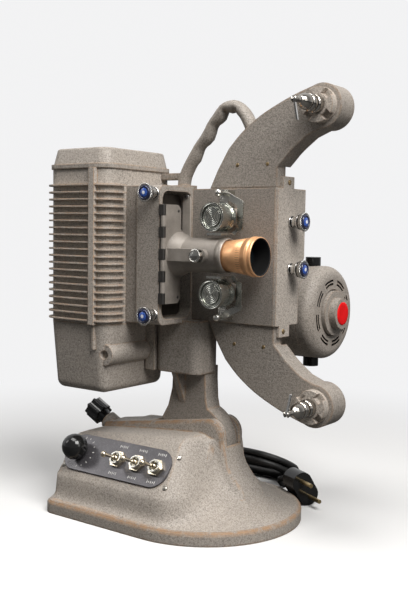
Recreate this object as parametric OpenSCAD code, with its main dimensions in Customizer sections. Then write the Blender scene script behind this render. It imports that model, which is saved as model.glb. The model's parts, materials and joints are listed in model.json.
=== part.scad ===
// Sixteen millimetre silent film projector on a tilting cast stand.
// +X is the way the lens points, -Y the film side, +Z up, origin under the base near its middle.

/* [Base] */
// Length of the base over its foot
base_len = 213; // [195:1:235]
// Width of the base over its foot
base_w = 182; // [170:1:200]
// Height of the foot rim
foot_h = 12; // [9:0.5:15]
// Wall of the base casting
base_wall = 6; // [5:0.5:7]
// Width of the ridge that carries the tilt slot
spine_w = 34; // [32:1:40]
// Height of the ridge at the tilt slot
spine_top = 94.5; // [92:0.5:98]
// Lean of the control panel back from upright
panel_tilt = 38; // [34:1:40]
// Length of the control panel plate
panel_len = 122; // [114:1:124]

/* [Tilt] */
// Height of the tilt pivot
pivot_z = 70; // [68:0.5:72]
// Thickness of the stem in the tilt slot
stem_t = 20; // [18:0.5:22]
// Radius of the round tongue of the stem
tongue_r = 34.5; // [33:0.5:35]
// Diameter of the tilt screw
tilt_d = 8; // [7:0.5:9]

/* [Optics] */
// Distance of the optical axis from the middle plane of the stand
axis_out = 34; // [33:0.5:35]
// Height of the optical axis
axis_z = 243; // [242:0.5:245]
// Radius of the lens holder tube
holder_r = 15; // [14.5:0.1:15.2]
// Radius of the lens barrel in the holder
barrel_r = 13; // [12:0.1:13.3]
// Length of the lens barrel in front of the holder
barrel_out = 37; // [32:1:40]

/* [Lamphouse] */
// Length of the lamphouse
house_l = 73; // [68:0.5:78]
// Width of the lamphouse
house_w = 94; // [90:1:98]
// Corner radius of the lamphouse
house_r = 13; // [10:0.5:16]
// Wall of the lamphouse
house_wall = 2.5; // [2:0.1:3]
// Number of cooling fins
fin_n = 20; // [16:1:20]
// Distance from fin to fin
fin_pitch = 6.35; // [6:0.05:6.6]
// Thickness of a fin
fin_t = 1.5; // [1.2:0.1:2]
// How far a fin stands out
fin_out = 3.8; // [3:0.1:4.2]

/* [Mechanism] */
// Length of the mechanism housing in front of the gate block
mech_l = 87.5; // [85:0.5:90]
// Height of the mechanism housing
mech_h = 119; // [118:0.5:122]
// Depth of the mechanism housing
mech_d = 46; // [44:0.5:48]
// Wall of the mechanism housing
mech_wall = 3; // [2.5:0.1:3.5]
// Thickness of the front cover
cover_t = 3; // [2:0.1:4]
// Height between the two sprocket shafts
sprocket_span = 66; // [65:0.5:67]
// Radius of a sprocket rim
sprocket_r = 12.3; // [11.5:0.1:12.5]

/* [Arms] */
// Distance of the reel spindles in front of the middle of the base
spindle_x = 131; // [128:0.5:134]
// Height between the two reel spindles
spindle_span = 249.4; // [246:0.2:252]
// Radius of the round end of an arm
arm_end_r = 18.5; // [17:0.5:20]
// Thickness of an arm
arm_t = 20; // [18:0.5:22]
// Side of the square reel spindle
spindle_sq = 7.94; // [7.5:0.02:8]

/* [Motor] */
// Radius of the motor case
motor_r = 43.5; // [42:0.5:44]
// Height of the motor shaft
motor_z = 189.5; // [188:0.5:191]
// Front of the motor case
motor_front = 84; // [82:0.5:86]

/* [Cord] */
// Diameter of the mains cord
cord_d = 6; // [5.6:0.1:6.2]
// Number of loops in the coil
coil_loops = 5; // [3:1:6]

/* [Hidden] */
$fn = 64;

paint = "#7d766d";
chrome = "#c9cbcc";
black = "#1c1c1d";
steel = "#9a9b9c";
brass = "#b08d4c";
copper = "#c98548";

// Radial clearance of a shaft in its bearing
run = 0.04;
// Clearance between pieces that pass each other
gap = 0.4;

// Base
half_w = base_w / 2;
x_round = 12.5;
x_rear = x_round + half_w - base_len;
wall_in = 8;
body_rear = x_rear + 5;
rear_round = 8;
ledge_z = 34;
shoulder_z = 80;
rear_top = 70;
bulge_x = 20;
bulge_round = 30;
front_round = 40;
far_short = 30;
flare_r = 24;
flare_z = 80;
flare_pow = 2.2;
ridge_front = [[12, 58], [22, 66], [29, 69], [36, 64], [44, 56], [52, 50], [60, 46.5], [72, 44.5],
    [82, 44]];
plate_t = 3;
core_half = spine_w / 2 + 1.5;
core_x = [-46, 58];
slot_rear = -40;

// Control panel, measured along its slope from the middle of the face
face_y = -half_w + wall_in + 2.5;
panel_up = 26.3;
panel_in = 0.3;
panel_y = face_y + panel_up * sin(panel_tilt) + panel_in * cos(panel_tilt);
panel_z = ledge_z + panel_up * cos(panel_tilt) - panel_in * sin(panel_tilt);
crest_y = -face_y - (shoulder_z - ledge_z) * tan(panel_tilt);
panel_x = -39.1;
panel_h = 36;
panel_r = 15;
panel_t = 2;
switch_x = [for (k = [0.023, 0.212, 0.391]) panel_x + k * panel_len];
switch_r = 5.9;
bushing_h = 8;
toggle_len = 17;
toggle_lean = 16;
dial_x = panel_x - 0.36 * panel_len;
pocket_edge = 4;
dial_r = 4;

// Tilt
pivot_x = 8;
pivot_r = 5;
tilt_dip = 27.7;
tilt_top = [-122, 79];
tilt_reach = (pivot_x - tilt_top[0]) * cos(tilt_dip) + (tilt_top[1] - pivot_z) * sin(tilt_dip);
tilt_arm = (pivot_x - tilt_top[0]) * sin(tilt_dip) - (tilt_top[1] - pivot_z) * cos(tilt_dip);
nut_w = 12;
pin_half = spine_w / 2 - 1;

// Head
stem_y = stem_t / 2;
axis_y = -axis_out;
plate_y = -10;
mech_far = plate_y + mech_d;
mech_low = mech_far - 9;
inner_y = plate_y + mech_wall;
mech_z = axis_z - mech_h / 2 - 0.8;
mech_top = mech_z + mech_h;
gate_x = 2.5;
mech_x = gate_x + mech_l;
house_x = -39.5;
house_y = axis_y - house_w / 2;
lamp_x = house_x - house_l / 2;
socket_z = 150;
house_z = 179;
house_top = 318;
crown_top = 336.5;
duct_z = 116.5;
duct_draft = 4.5;
duct_boss = [house_x - 5, 152];
rib_w = 6.5;
rib_x = house_x - house_r - 4;
box_z = 134;
box_y = -24;
box_x = [-30, 20.4];
gate_y = -58;
gate_h = 123;
gate_z = axis_z - gate_h / 2 - 1;
window_x = -11.5;
window_wall = 4;
shaft_y = 2;
shutter_r = 44;
shutter_x = -31.5;

// Film drive
sprocket_x = 48.5;
film_w = 16;
sprocket_y = [axis_y - film_w / 2 - 0.5, axis_y + film_w / 2 + 0.5];
shaft_r = 4;
wheel_r = 18;
worm_r = 5;
worm_x = sprocket_x + wheel_r + worm_r + 0.5;
teeth = 10;
post_x = 45;
post_dz = 54;

// Lens carrier
hinge_x = 6;
hinge_y = gate_y + 1;
hinge_r = 2.2;
hinge_half = 43.5;
knuckles = 9;
door_x = [4.2, 6.7];
holder_front = 54.5;
clamp_x = 43;
block_y = axis_y - 19;

// Arms and motor
arm_y = plate_y + 2;
arm_far = arm_y + arm_t;
arm_z = spindle_span / 2;
latch_t = 1.4;
tongue_y = 4;
motor_y = mech_far + motor_r;
motor_rear = 2;
bell_face = motor_front + 16;

// Cord: gland on the rear wall, a coil of loops leaning on the far wall, and a plug in front of it
gland_y = 66;
gland_z = 20;
gland_l = 20;
gland_x = body_rear + 0.7;
cord_r = cord_d / 2;
coil_run = 70;
coil_bend = 18;
coil_step = cord_d + 0.6;
coil_lean = 28;
coil_right = 5;
coil_out = coil_bend + coil_step * coil_loops / 2;
coil_u = [1, 0, 0];
coil_v = [0, -cos(coil_lean), sin(coil_lean)];
coil_n = [0, sin(coil_lean), cos(coil_lean)];
coil_mid = [coil_right - coil_run / 2, 114.6, 3.2 + coil_out * sin(coil_lean)];
rings_per_loop = 24;
lead_points = [[-110, 144, 5.6], [-126, 139, 3.4], [-139, 128, 3.2], [-147, 113, 3.2], [-149, 97, 4],
    [-145, 82, 8], [-137, 71, 14.5]];
tail_points = [[14.5, 144, 3.2], [22.5, 139.5, 3.2], [27, 132, 3.2], [28.5, 123, 3.3], [29, 114, 5.5],
    [31.5, 106, 10.5], [36, 99.5, 15.2]];
plug_rear = [47, 95.5, 17];
plug_turn = -29.4;
plug_dir = [cos(plug_turn), sin(plug_turn), 0];
plug_roll = -59;
plug_l = 34;
plug_w = 35;
plug_t = 21;
pin_gap = 19;
pin_l = 18;
pin_r = 2;

// Outline helpers
module along_y(y0, y1) {
    translate([0, y1, 0])
        rotate([90, 0, 0])
            linear_extrude(y1 - y0)
                children();
}

module along_x(x0, x1) {
    translate([x0, 0, 0])
        rotate([90, 0, 90])
            linear_extrude(x1 - x0)
                children();
}

module rod_y(x, z, r, y0, y1) {
    translate([x, y1, z])
        rotate([90, 0, 0])
            cylinder(r = r, h = y1 - y0);
}

module rod_x(y, z, r, x0, x1) {
    translate([x0, y, z])
        rotate([0, 90, 0])
            cylinder(r = r, h = x1 - x0);
}

module block(x, y, z) {
    translate([x[0], y[0], z[0]])
        cube([x[1] - x[0], y[1] - y[0], z[1] - z[0]]);
}

module round_rect(x, y, r) {
    translate([x[0] + r, y[0]])
        square([x[1] - x[0] - 2 * r, y[1] - y[0]]);
    translate([x[0], y[0] + r])
        square([x[1] - x[0], y[1] - y[0] - 2 * r]);
    for (cx = [x[0] + r, x[1] - r], cy = [y[0] + r, y[1] - r])
        translate([cx, cy])
            circle(r = r);
}

module link_2d(a, b, w) {
    d = b - a;
    translate(a)
        rotate(atan2(d[1], d[0]))
            translate([0, -w / 2])
                square([norm(d), w]);
    for (p = [a, b])
        translate(p)
            circle(d = w);
}

module mirror_z(lower) {
    translate([0, 0, axis_z])
        mirror([0, 0, lower ? 1 : 0])
            children();
}

// A tube swept along a list of points, with an oval section of half-widths a and b
function unit(v) = v / norm(v);
function heading(p, i) = unit(p[min(i + 1, len(p) - 1)] - p[max(i - 1, 0)]);
function side_of(t, up) = unit(cross(t, up));
function ring(p, i, up, a, b, n) =
    let (t = heading(p, i), s = side_of(t, up), q = cross(s, t), w = is_list(a) ? a[i] : a)
    [for (k = [0 : n - 1]) p[i] + s * w * cos(360 * k / n) + q * b * sin(360 * k / n)];

module sweep(p, up, a, b, n) {
    last = (len(p) - 1) * n;
    points = [for (i = [0 : len(p) - 1]) each ring(p, i, up, a, b, n)];
    sides = [for (i = [0 : len(p) - 2], k = [0 : n - 1], h = [0, 1])
        let (j = (k + 1) % n, u = i * n, v = u + n)
        h == 0 ? [u + k, u + j, v + j] : [u + k, v + j, v + k]];
    ends = [for (k = [1 : n - 2], h = [0, 1]) h == 0 ? [0, k + 1, k] : [last, last + k, last + k + 1]];
    polyhedron(points = points, faces = concat(sides, ends), convexity = 10);
}

// A smooth curve through a list of points, with m steps from point to point
function spline_at(a, b, c, d, t) =
    0.5 * (2 * b + (c - a) * t + (2 * a - 5 * b + 4 * c - d) * t * t + (3 * b - a - 3 * c + d) * t * t * t);
function spline(p, m) = concat(
    [for (i = [0 : len(p) - 2], k = [0 : m - 1])
        spline_at(p[max(i - 1, 0)], p[i], p[i + 1], p[min(i + 2, len(p) - 1)], k / m)],
    [p[len(p) - 1]]);

// Base
module foot_outline(inset, r) {
    w = half_w - inset;
    translate([x_round, 0])
        circle(r = w, $fn = 96);
    round_rect([x_rear + inset, x_round + r], [-w, w], r);
}

module body_outline(inset) {
    w = half_w - wall_in - inset;
    ledge = [face_y + inset, ledge_z - inset / 2];
    shoulder = [-crest_y + inset * 0.6, shoulder_z - 5 - inset];
    top = [spine_w / 2, shoulder_z - inset];
    polygon([[-w, 0], ledge, shoulder, [-top[0], top[1]], top, [-shoulder[0], shoulder[1]],
        [-ledge[0], ledge[1]], [w, 0]]);
}

function flare(t, inset) = [flare_r - inset + (half_w - wall_in - flare_r) * pow(1 - t, flare_pow),
    foot_h + (flare_z - inset - foot_h) * t];

module flare_hollow(inset) {
    translate([x_round, 0, 0])
        rotate([0, 0, -90])
            rotate_extrude(angle = 180, $fn = 96)
                polygon(concat([[0, 0], [half_w - wall_in - inset, 0]],
                    [for (i = [0 : 10]) flare(i / 10, inset)], [[0, flare_z - inset]]));
}

module on_panel(x, s) {
    translate([x, panel_y + s * sin(panel_tilt), panel_z + s * cos(panel_tilt)])
        rotate([90 - panel_tilt, 0, 0])
            children();
}

module panel_outline() {
    round_rect([-panel_len / 2, panel_len / 2], [-panel_h / 2, panel_h / 2], panel_r);
}

module on_tilt_axis() {
    translate([tilt_top[0], 0, tilt_top[1]])
        rotate([0, 90 + tilt_dip, 0])
            children();
}

// Upper form of the base: rings about the skirt's upright axis, from the foot to the crest and the roof
function smin(a, b, k) = let (h = max(k - abs(a - b), 0) / k) min(a, b) - h * h * k / 4;
function smax(a, b, k) = -smin(-a, -b, k);
function past(v, w) = max(v, 0) / w;

function roofline(x) = rear_top + (shoulder_z - rear_top) * min(1, (x - body_rear) / (bulge_x - body_rear));
function crest_z(a) =
    roofline(max(body_rear, min(bulge_x, x_round + crest_y * cos(a) / max(abs(sin(a)), 0.01))));

// Half width of the straight-sided body: a near upright wall, then the sloped panel face
function face_w(z) = z < ledge_z
    ? lookup(z, [[foot_h, half_w - wall_in], [ledge_z, -face_y]])
    : -face_y - (z - ledge_z) * tan(panel_tilt);

// How far a point lies out of the body at a height, 1 on its wall, with round rear and front corners
function bulge_at(x, y, z) =
    let (w = face_w(z), nose = bulge_round - (bulge_round - 8) * (z - foot_h) / (shoulder_z - foot_h),
        front = y > 0 ? bulge_x - far_short : bulge_x)
    x < front
        ? norm([past(abs(y) - w + rear_round, rear_round), past(body_rear + rear_round - x, rear_round)])
        : norm([past(abs(y) - w + front_round, front_round), past(x - front, nose)]);
function bulge_reach(a, z, low, high, n) =
    let (r = (low + high) / 2, inside = bulge_at(x_round + r * cos(a), r * sin(a), z) <= 1)
    n == 0 ? r : bulge_reach(a, z, inside ? r : low, inside ? high : r, n - 1);

// The round skirt, and the ridge that runs down its front
function skirt_reach(z) = flare(past(z - foot_h, flare_z - foot_h), 0)[0] - 2;
function ridge_reach(a, z) =
    let (r = (lookup(z, ridge_front) - x_round) / max(cos(a), 0.1))
    r - 2.2 * past(abs(r * sin(a)) - spine_w / 2 + 2, 2);

function form_reach(a, z) =
    let (body = smax(bulge_reach(a, z, 0, base_len, 18), skirt_reach(z), min(16, 2 + past(z - foot_h, 1))),
        ridged = cos(a) > 0.5 ? smax(body, ridge_reach(a, z), 5) : body)
    ridged + 4 * pow(min(1, past(foot_h + 7 - z, 7)), 2) - 7 * pow(past(z - crest_z(a) + 6, 6), 2);

function form_point(a, z) =
    let (r = form_reach(a, z)) [x_round + r * cos(a), r * sin(a), z];

module base_form() {
    half = concat([for (a = [0 : 2.5 : 45]) a], [for (a = [50 : 5 : 125]) a],
        [for (a = [130 : 1.5 : 155.5]) a], [160, 166, 172]);
    turns = concat(half, [180], [for (i = [len(half) - 1 : -1 : 1]) 360 - half[i]]);
    n = len(turns);
    levels = concat([for (d = [-4, 0, 1.5, 3.5, 6, 10, 15]) foot_h + d],
        [for (d = [-0.8, 0.8, 6, 12, 18, 24]) ledge_z + d]);
    rounds = [6, 4, 2.5, 1, 0];
    shrink = [0.86, 0.6, 0.3];
    wall = concat([for (z = levels, a = turns) form_point(a, z)],
        [for (d = rounds, a = turns) form_point(a, crest_z(a) - d)]);
    roof = [for (g = shrink, a = turns)
        let (r = g * form_reach(a, crest_z(a)), x = x_round + r * cos(a))
            [x, r * sin(a), max(roofline(x), crest_z(a)) + 1.5 * (1 - g)]];
    rows = len(levels) + len(rounds) + len(shrink);
    last = (rows - 1) * n;
    skin = [for (i = [0 : rows - 2], k = [0 : n - 1], h = [0, 1])
        let (j = (k + 1) % n, u = i * n, v = u + n)
        h == 0 ? [u + k, v + k, v + j] : [u + k, v + j, u + j]];
    lid = [for (k = [0 : n - 1]) [last + k, rows * n, last + (k + 1) % n]];
    floor = [[for (k = [0 : n - 1]) k]];
    polyhedron(points = concat(wall, roof, [[x_round, 0, roofline(x_round) + 1.5]]),
        faces = concat(skin, lid, floor), convexity = 10);
}

// Side view of the ridge, lowered by drop
module ridge_outline(drop) {
    top = spine_top - drop;
    front = lookup(shoulder_z, ridge_front) - drop;
    radius = 15;
    polygon(concat([[body_rear + 6, foot_h], [body_rear + 6, rear_top + 4 - drop]],
        [for (a = [82 : -14 : -2]) [front - radius + radius * cos(a), top - radius + radius * sin(a)]],
        [[front, pivot_z - 10], [front - 12, foot_h]]));
}

module base_cavity() {
    difference() {
        union() {
            intersection() {
                along_x(body_rear + base_wall, x_round)
                    body_outline(base_wall + 1);
                translate([0, 0, -1])
                    linear_extrude(rear_top - 2 * base_wall)
                        round_rect([body_rear + base_wall, base_len], [-half_w, half_w], rear_round);
            }
            flare_hollow(base_wall + 1);
        }
        block(core_x, [-core_half, core_half], [-2, spine_top]);
    }
}

module tilt_slot() {
    w = stem_y + gap;
    rod_y(pivot_x, pivot_z, tongue_r + gap, -w, w);
    block([slot_rear, base_len], [-w, w], [pivot_z, 2 * spine_top]);
    block([slot_rear, pivot_x + 18], [-w, w], [plate_t, pivot_z]);
}

module base_casting() {
    color(paint) difference() {
        union() {
            for (i = [0 : 3])
                linear_extrude(foot_h - 3 + 3 * sin(30 * i))
                    foot_outline(3 - 3 * cos(30 * i), rear_round + 5);
            base_form();
            for (i = [0 : 3])
                along_y(-spine_w / 2 + 3 - 3 * cos(30 * i), spine_w / 2 - 3 + 3 * cos(30 * i))
                    ridge_outline(3 - 3 * sin(30 * i));
            on_tilt_axis()
                translate([0, 0, 15])
                    cylinder(r = tilt_d / 2 + 5, h = 16);
        }
        base_cavity();
        tilt_slot();
        translate([0, 0, -1])
            linear_extrude(plate_t + 1)
                foot_outline(wall_in + 1, rear_round);
        rod_y(pivot_x, pivot_z, pivot_r, -pin_half, pin_half);
        on_tilt_axis()
            cylinder(r = tilt_d / 2 + run, h = 200);
        on_panel(panel_x, 0)
            linear_extrude(panel_t)
                panel_outline();
        on_panel(panel_x, 0)
            translate([-panel_len / 2 + pocket_edge, -panel_h / 2 + 6, -30])
                cube([panel_len - 2 * pocket_edge, panel_h - 12, 40]);
        rod_x(gland_y, gland_z, cord_r + 2, x_rear, gland_x + 2 * base_wall);
        rod_x(gland_y, gland_z, cord_r + 4 + gap, x_rear, gland_x);
    }
}

module base_plate() {
    color(steel)
        linear_extrude(plate_t)
            foot_outline(wall_in + 1.3, rear_round);
}

// Control panel
module panel_plate() {
    color("#5b5961") on_panel(panel_x, 0) difference() {
        linear_extrude(panel_t)
            panel_outline();
        for (x = switch_x)
            translate([x - panel_x, 0, -1])
                cylinder(r = switch_r + run, h = panel_t + 2);
        translate([dial_x - panel_x, 0, -1])
            cylinder(r = dial_r + 1 + run, h = panel_t + 2);
    }
}

module switch_bodies() {
    color(steel) for (x = switch_x) on_panel(x, 0) difference() {
        union() {
            translate([0, 0, panel_t - 4])
                cylinder(r = switch_r, h = bushing_h + 4 - panel_t);
            translate([-8, -9, -22])
                cube([16, 18, 22]);
        }
        translate([0, 0, bushing_h - 4])
            cylinder(r1 = 3, r2 = 4.6, h = 4.1);
    }
}

module switch_nuts() {
    color(chrome) for (x = switch_x) on_panel(x, 0) difference() {
        translate([0, 0, panel_t])
            cylinder(d = 16.5, h = 3, $fn = 6);
        cylinder(r = switch_r + run, h = 3 * panel_t);
    }
}

module toggle(x) {
    color(chrome) on_panel(x, 0) translate([0, 0, bushing_h - 1.2]) rotate([toggle_lean, 0, 0]) {
        sphere(r = 2.6);
        cylinder(r1 = 1.4, r2 = 1.9, h = toggle_len);
        translate([0, 0, toggle_len])
            sphere(r = 2.9);
    }
}

module toggle_motor() { toggle(switch_x[0]); }
module toggle_lamp() { toggle(switch_x[1]); }
module toggle_direction() { toggle(switch_x[2]); }

module rheostat() {
    color(black) on_panel(dial_x, 0) difference() {
        union() {
            translate([0, 0, -24])
                cylinder(r = 11.5, h = 24);
            cylinder(r = dial_r + 1, h = panel_t + 1);
        }
        translate([0, 0, -20])
            cylinder(r = 3 + run, h = 40);
    }
}

module speed_knob() {
    ball_r = 12;
    seat = panel_t + 1.4;
    color(black) on_panel(dial_x, 0) {
        translate([0, 0, -19])
            cylinder(r = 3, h = 30);
        difference() {
            translate([0, 0, ball_r + 0.5])
                sphere(r = ball_r);
            translate([0, 0, -ball_r])
                cylinder(r = 2 * ball_r, h = ball_r + seat, $fn = 32);
            for (a = [0 : 30 : 330])
                rotate(a)
                    translate([ball_r + 1, 0, 0])
                        cylinder(r = 2, h = 14);
        }
    }
}

// Tilt
module pivot_pin() {
    color(steel)
        rod_y(pivot_x, pivot_z, pivot_r - run / 2, -pin_half + 0.2, pin_half - 0.2);
}

module tilt_knob() {
    color(black) on_tilt_axis() {
        difference() {
            translate([0, 0, -9])
                cylinder(r = 11, h = 16);
            for (a = [0 : 45 : 315])
                rotate(a)
                    translate([13.5, 0, -10])
                        cylinder(r = 4.4, h = 20);
        }
        translate([0, 0, 6])
            cylinder(r1 = 8, r2 = 5, h = 9 - gap);
        cylinder(r = tilt_d / 2, h = tilt_reach + 21);
    }
}

module tilt_nut() {
    color(brass) {
        on_tilt_axis() difference() {
            translate([-nut_w / 2, -nut_w / 2, tilt_reach - nut_w / 2])
                cube(nut_w);
            cylinder(r = tilt_d / 2 + run, h = 200);
        }
        for (y = [-nut_w / 2 - 3, nut_w / 2 - 0.5])
            on_tilt_axis()
                translate([0, y, tilt_reach])
                    rotate([-90, 0, 0])
                        cylinder(r = 3, h = 3.5);
    }
}

module stem_outline() {
    polygon([[pivot_x - 24, pivot_z], [pivot_x - 39, pivot_z + 17], [pivot_x - 31.5, pivot_z + 30],
        [pivot_x - 27, pivot_z + 47], [pivot_x - 26, box_z + 6], [pivot_x + 11, box_z + 6],
        [pivot_x + 11, box_z - 6], [pivot_x + 12, pivot_z + 40], [pivot_x + 15, pivot_z + 27],
        [pivot_x + 24, pivot_z]]);
    translate([pivot_x, pivot_z])
        circle(r = tongue_r);
    link_2d([pivot_x, pivot_z], [pivot_x, pivot_z] + (tilt_arm + 2) * [-sin(tilt_dip), -cos(tilt_dip)], 22);
}

module stem_casting() {
    color(paint) difference() {
        union() {
            along_y(-stem_y, stem_y)
                stem_outline();
            translate([0, 0, box_z])
                linear_extrude(mech_z - box_z)
                    round_rect(box_x, [box_y, stem_y + 1], 9);
            along_x(-10, -4)
                polygon([[box_y + 1, box_z + 1], [1 - stem_y, box_z + 1], [1 - stem_y, box_z - 30],
                    [-stem_y, box_z - 30], [box_y + 1, box_z]]);
        }
        block([box_x[0] - 1, gate_x], [box_y - 1, plate_y], [gate_z, mech_z + 1]);
        rod_y(pivot_x, pivot_z, pivot_r + run, -half_w, half_w);
        on_tilt_axis()
            translate([-16, -nut_w / 2 - gap, tilt_reach - 30])
                cube([32, nut_w + 2 * gap, 60]);
        for (d = [-1 : 0.5 : 1])
            on_tilt_axis()
                translate([2 * d, -half_w, tilt_reach])
                    rotate([-90, 0, 0])
                        cylinder(r = 3 + gap, h = base_w);
    }
}

// Mechanism housing
module mech_outline(inset) {
    near = plate_y + inset;
    low = mech_low - inset;
    far = mech_far - inset;
    polygon([[near, mech_z + inset], [low, mech_z + inset], [low, axis_z - 12], [far, axis_z - 2],
        [far, mech_top - inset], [near, mech_top - inset]]);
}

module shutter_case(inset) {
    block([house_x + inset, shutter_x + 9 - inset], [plate_y + inset, shaft_y + shutter_r + 4 - inset],
        [axis_z - shutter_r - 4 + inset, axis_z + shutter_r + 4 - inset]);
}

module arm_tongue(inset) {
    for (lower = [false, true])
        mirror_z(lower)
            block([40 - inset, 88 + inset], [tongue_y - inset, arm_far - 3 + inset],
                [lower ? axis_z - mech_z : mech_top - axis_z, 84 + inset]);
}

module mech_housing() {
    color(paint) difference() {
        union() {
            difference() {
                union() {
                    along_x(house_x, mech_x)
                        mech_outline(0);
                    shutter_case(0);
                }
                along_x(house_x + mech_wall, mech_x + 1)
                    mech_outline(mech_wall);
                shutter_case(mech_wall);
            }
            arm_tongue(0);
            for (s = [-1, 1])
                rod_y(sprocket_x, axis_z + s * sprocket_span / 2, shaft_r + 4, plate_y - 8, inner_y);
            block([51, 55], [shaft_y - 7, mech_far - mech_wall], [axis_z - 7, axis_z + 7]);
        }
        for (s = [-1, 1])
            rod_y(sprocket_x, axis_z + s * sprocket_span / 2, shaft_r + run, plate_y - 9, inner_y + 1);
        rod_x(shaft_y, axis_z, shaft_r + run, house_x + 1, mech_x - 4);
        block([shutter_x - 2.5, shutter_x + 2.5], [plate_y - 1, inner_y + 1],
            [axis_z - shutter_r, axis_z + shutter_r]);
        translate([worm_x, shaft_y, mech_z + 1])
            cylinder(r = 3 + run, h = mech_h - 2);
    }
}

module front_cover() {
    color(paint) difference() {
        union() {
            along_x(mech_x, mech_x + cover_t)
                mech_outline(0);
            block([mech_x, mech_x + cover_t], [-2, 16], [mech_top - 1, mech_top + 10]);
            block([mech_x, mech_x + cover_t], [-4, 13], [mech_z - 10, mech_z + 1]);
        }
        for (z = [30, -11])
            rod_x(12, axis_z + z, 3 + run, mech_x - 1, mech_x + cover_t + 1);
    }
}

module arm_screw_head() {
    difference() {
        intersection() {
            cylinder(r = 2.6, h = 1.4);
            translate([0, 0, -3])
                sphere(r = 4.3);
        }
        translate([-3, -0.3, 0.8])
            cube([6, 0.6, 2]);
    }
}

module head_screws() {
    color(brass) {
        for (x = [49, 80], s = [-1, 1])
            translate([x, arm_y, axis_z + s * 79])
                rotate([90, 0, 0])
                    arm_screw_head();
        for (p = [[8, mech_top + 5], [3, mech_z - 5]])
            translate([mech_x + cover_t, p[0], p[1]])
                rotate([0, 90, 0])
                    arm_screw_head();
    }
}

// Reel arms
module arm_outline() {
    polygon(concat([[20, 59], [28, 75]],
        spline([[39.5, 93.5], [53, 107], [70.5, 119.5], [88.5, 128.6], [105, 135.5], [120, 140.5]], 3),
        [[spindle_x, arm_z + arm_end_r - 0.1], [spindle_x, arm_z - arm_end_r + 0.1]],
        spline([[118, 101], [103.8, 90], [94.5, 80.5], [90, 76]], 3), [[90, 59]]));
}

module reel_arm(lower) {
    seat = lower ? axis_z - mech_z : mech_top - axis_z;
    color(paint) mirror_z(lower) difference() {
        intersection() {
            union() {
                along_y(arm_y, arm_far)
                    arm_outline();
                rod_y(spindle_x, arm_z, arm_end_r, arm_y, arm_far + 2.5);
            }
            block([0, 2 * spindle_x], [arm_y - 1, arm_far + 3], [seat, 2 * arm_z]);
        }
        block([39.7, 91], [tongue_y - 0.3, arm_far + 1], [seat - 1, 84.3]);
        rod_y(spindle_x, arm_z, 8 + run, arm_y - 1, arm_far - 3);
        rod_y(spindle_x, arm_z, 9, arm_far - 3.1, arm_far + 4);
    }
}

module upper_arm() { reel_arm(false); }
module lower_arm() { reel_arm(true); }

module arm_bearings() {
    color("#a59b86") for (lower = [false, true]) mirror_z(lower) difference() {
        union() {
            rod_y(spindle_x, arm_z, 14.5, arm_y - 8, arm_y);
            rod_y(spindle_x, arm_z, 8, arm_y - 1, arm_far - 3);
        }
        rod_y(spindle_x, arm_z, 5 + run, arm_y - 9, arm_far);
        for (a = [45, 135])
            translate([spindle_x, arm_y - 8, arm_z])
                rotate([0, a, 0])
                    difference() {
                        translate([-16, -1, -3.5])
                            cube([32, 6, 7]);
                        rod_y(0, 0, 9.5, -2, 6);
                    }
    }
}

module reel_spindle(lower) {
    tip = arm_y - 46;
    color(chrome) mirror_z(lower) difference() {
        union() {
            rod_y(spindle_x, arm_z, 5, arm_y - 10, arm_far - 2.5);
            rod_y(spindle_x, arm_z, 8.4, arm_far - 2.7, arm_far + 1.5);
            rod_y(spindle_x, arm_z, 7.5, arm_y - 17, arm_y - 8 - gap);
            block([spindle_x - spindle_sq / 2, spindle_x + spindle_sq / 2], [tip + 6, arm_y - 16],
                [arm_z - spindle_sq / 2, arm_z + spindle_sq / 2]);
            rod_y(spindle_x, arm_z, 3.6, tip, tip + 7);
        }
        block([spindle_x - 1.4, spindle_x + 1.4], [tip - 1, tip + 5.6], [arm_z - 9, arm_z + 9]);
    }
}

module upper_spindle() { reel_spindle(false); }
module lower_spindle() { reel_spindle(true); }

module reel_latch(lower) {
    tip = arm_y - 46;
    color(chrome) mirror_z(lower) {
        translate([spindle_x - latch_t / 2, 0, 0])
            rotate([90, 0, 90])
                linear_extrude(latch_t)
                    link_2d([tip + 2.6, arm_z], [tip + 8, arm_z - 15], 2);
        rod_x(tip + 2.6, arm_z, 0.8, spindle_x - 1.38, spindle_x + 1.38);
    }
}

module upper_latch() { reel_latch(false); }
module lower_latch() { reel_latch(true); }

// Carrying handle, a cast loop from the housing top to the upper arm
module handle() {
    route = spline([[-16, 0, mech_top - 2], [-14, 0, 314], [-4, 0, 331], [8, 0, 346], [19, 0, 361],
        [29, 0, 372], [40, 0, 374.5], [50, 0, 368], [57, 0, 357], [60, 0, 347]], 4);
    grip = [for (i = [0 : len(route) - 1]) i > 7 && i < 27 ? 5.1 + 0.9 * cos(360 * (i - 8) / 5) : 5.4];
    core = [for (i = [0 : len(route) - 1])
        route[i] + side_of(heading(route, i), [0, 1, 0]) * (5.4 - grip[i])];
    color(paint) difference() {
        union() {
            sweep(core, [0, 1, 0], grip, 7.5, 12);
            block([-34, -7], [-8, 8], [mech_top, mech_top + 4]);
            block([house_x + 0.5, -14], [-5, 5], [house_top - 7, house_top - 1]);
        }
        along_y(arm_y - 1, arm_far + 4)
            translate([0, axis_z])
                arm_outline();
        block([-60, 40], [-20, 20], [mech_z, mech_top]);
    }
}

// Lamphouse
module house_outline(out) {
    round_rect([house_x - house_l - out, house_x + out], [house_y - out, house_y + house_w + out],
        house_r + out);
}

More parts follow.
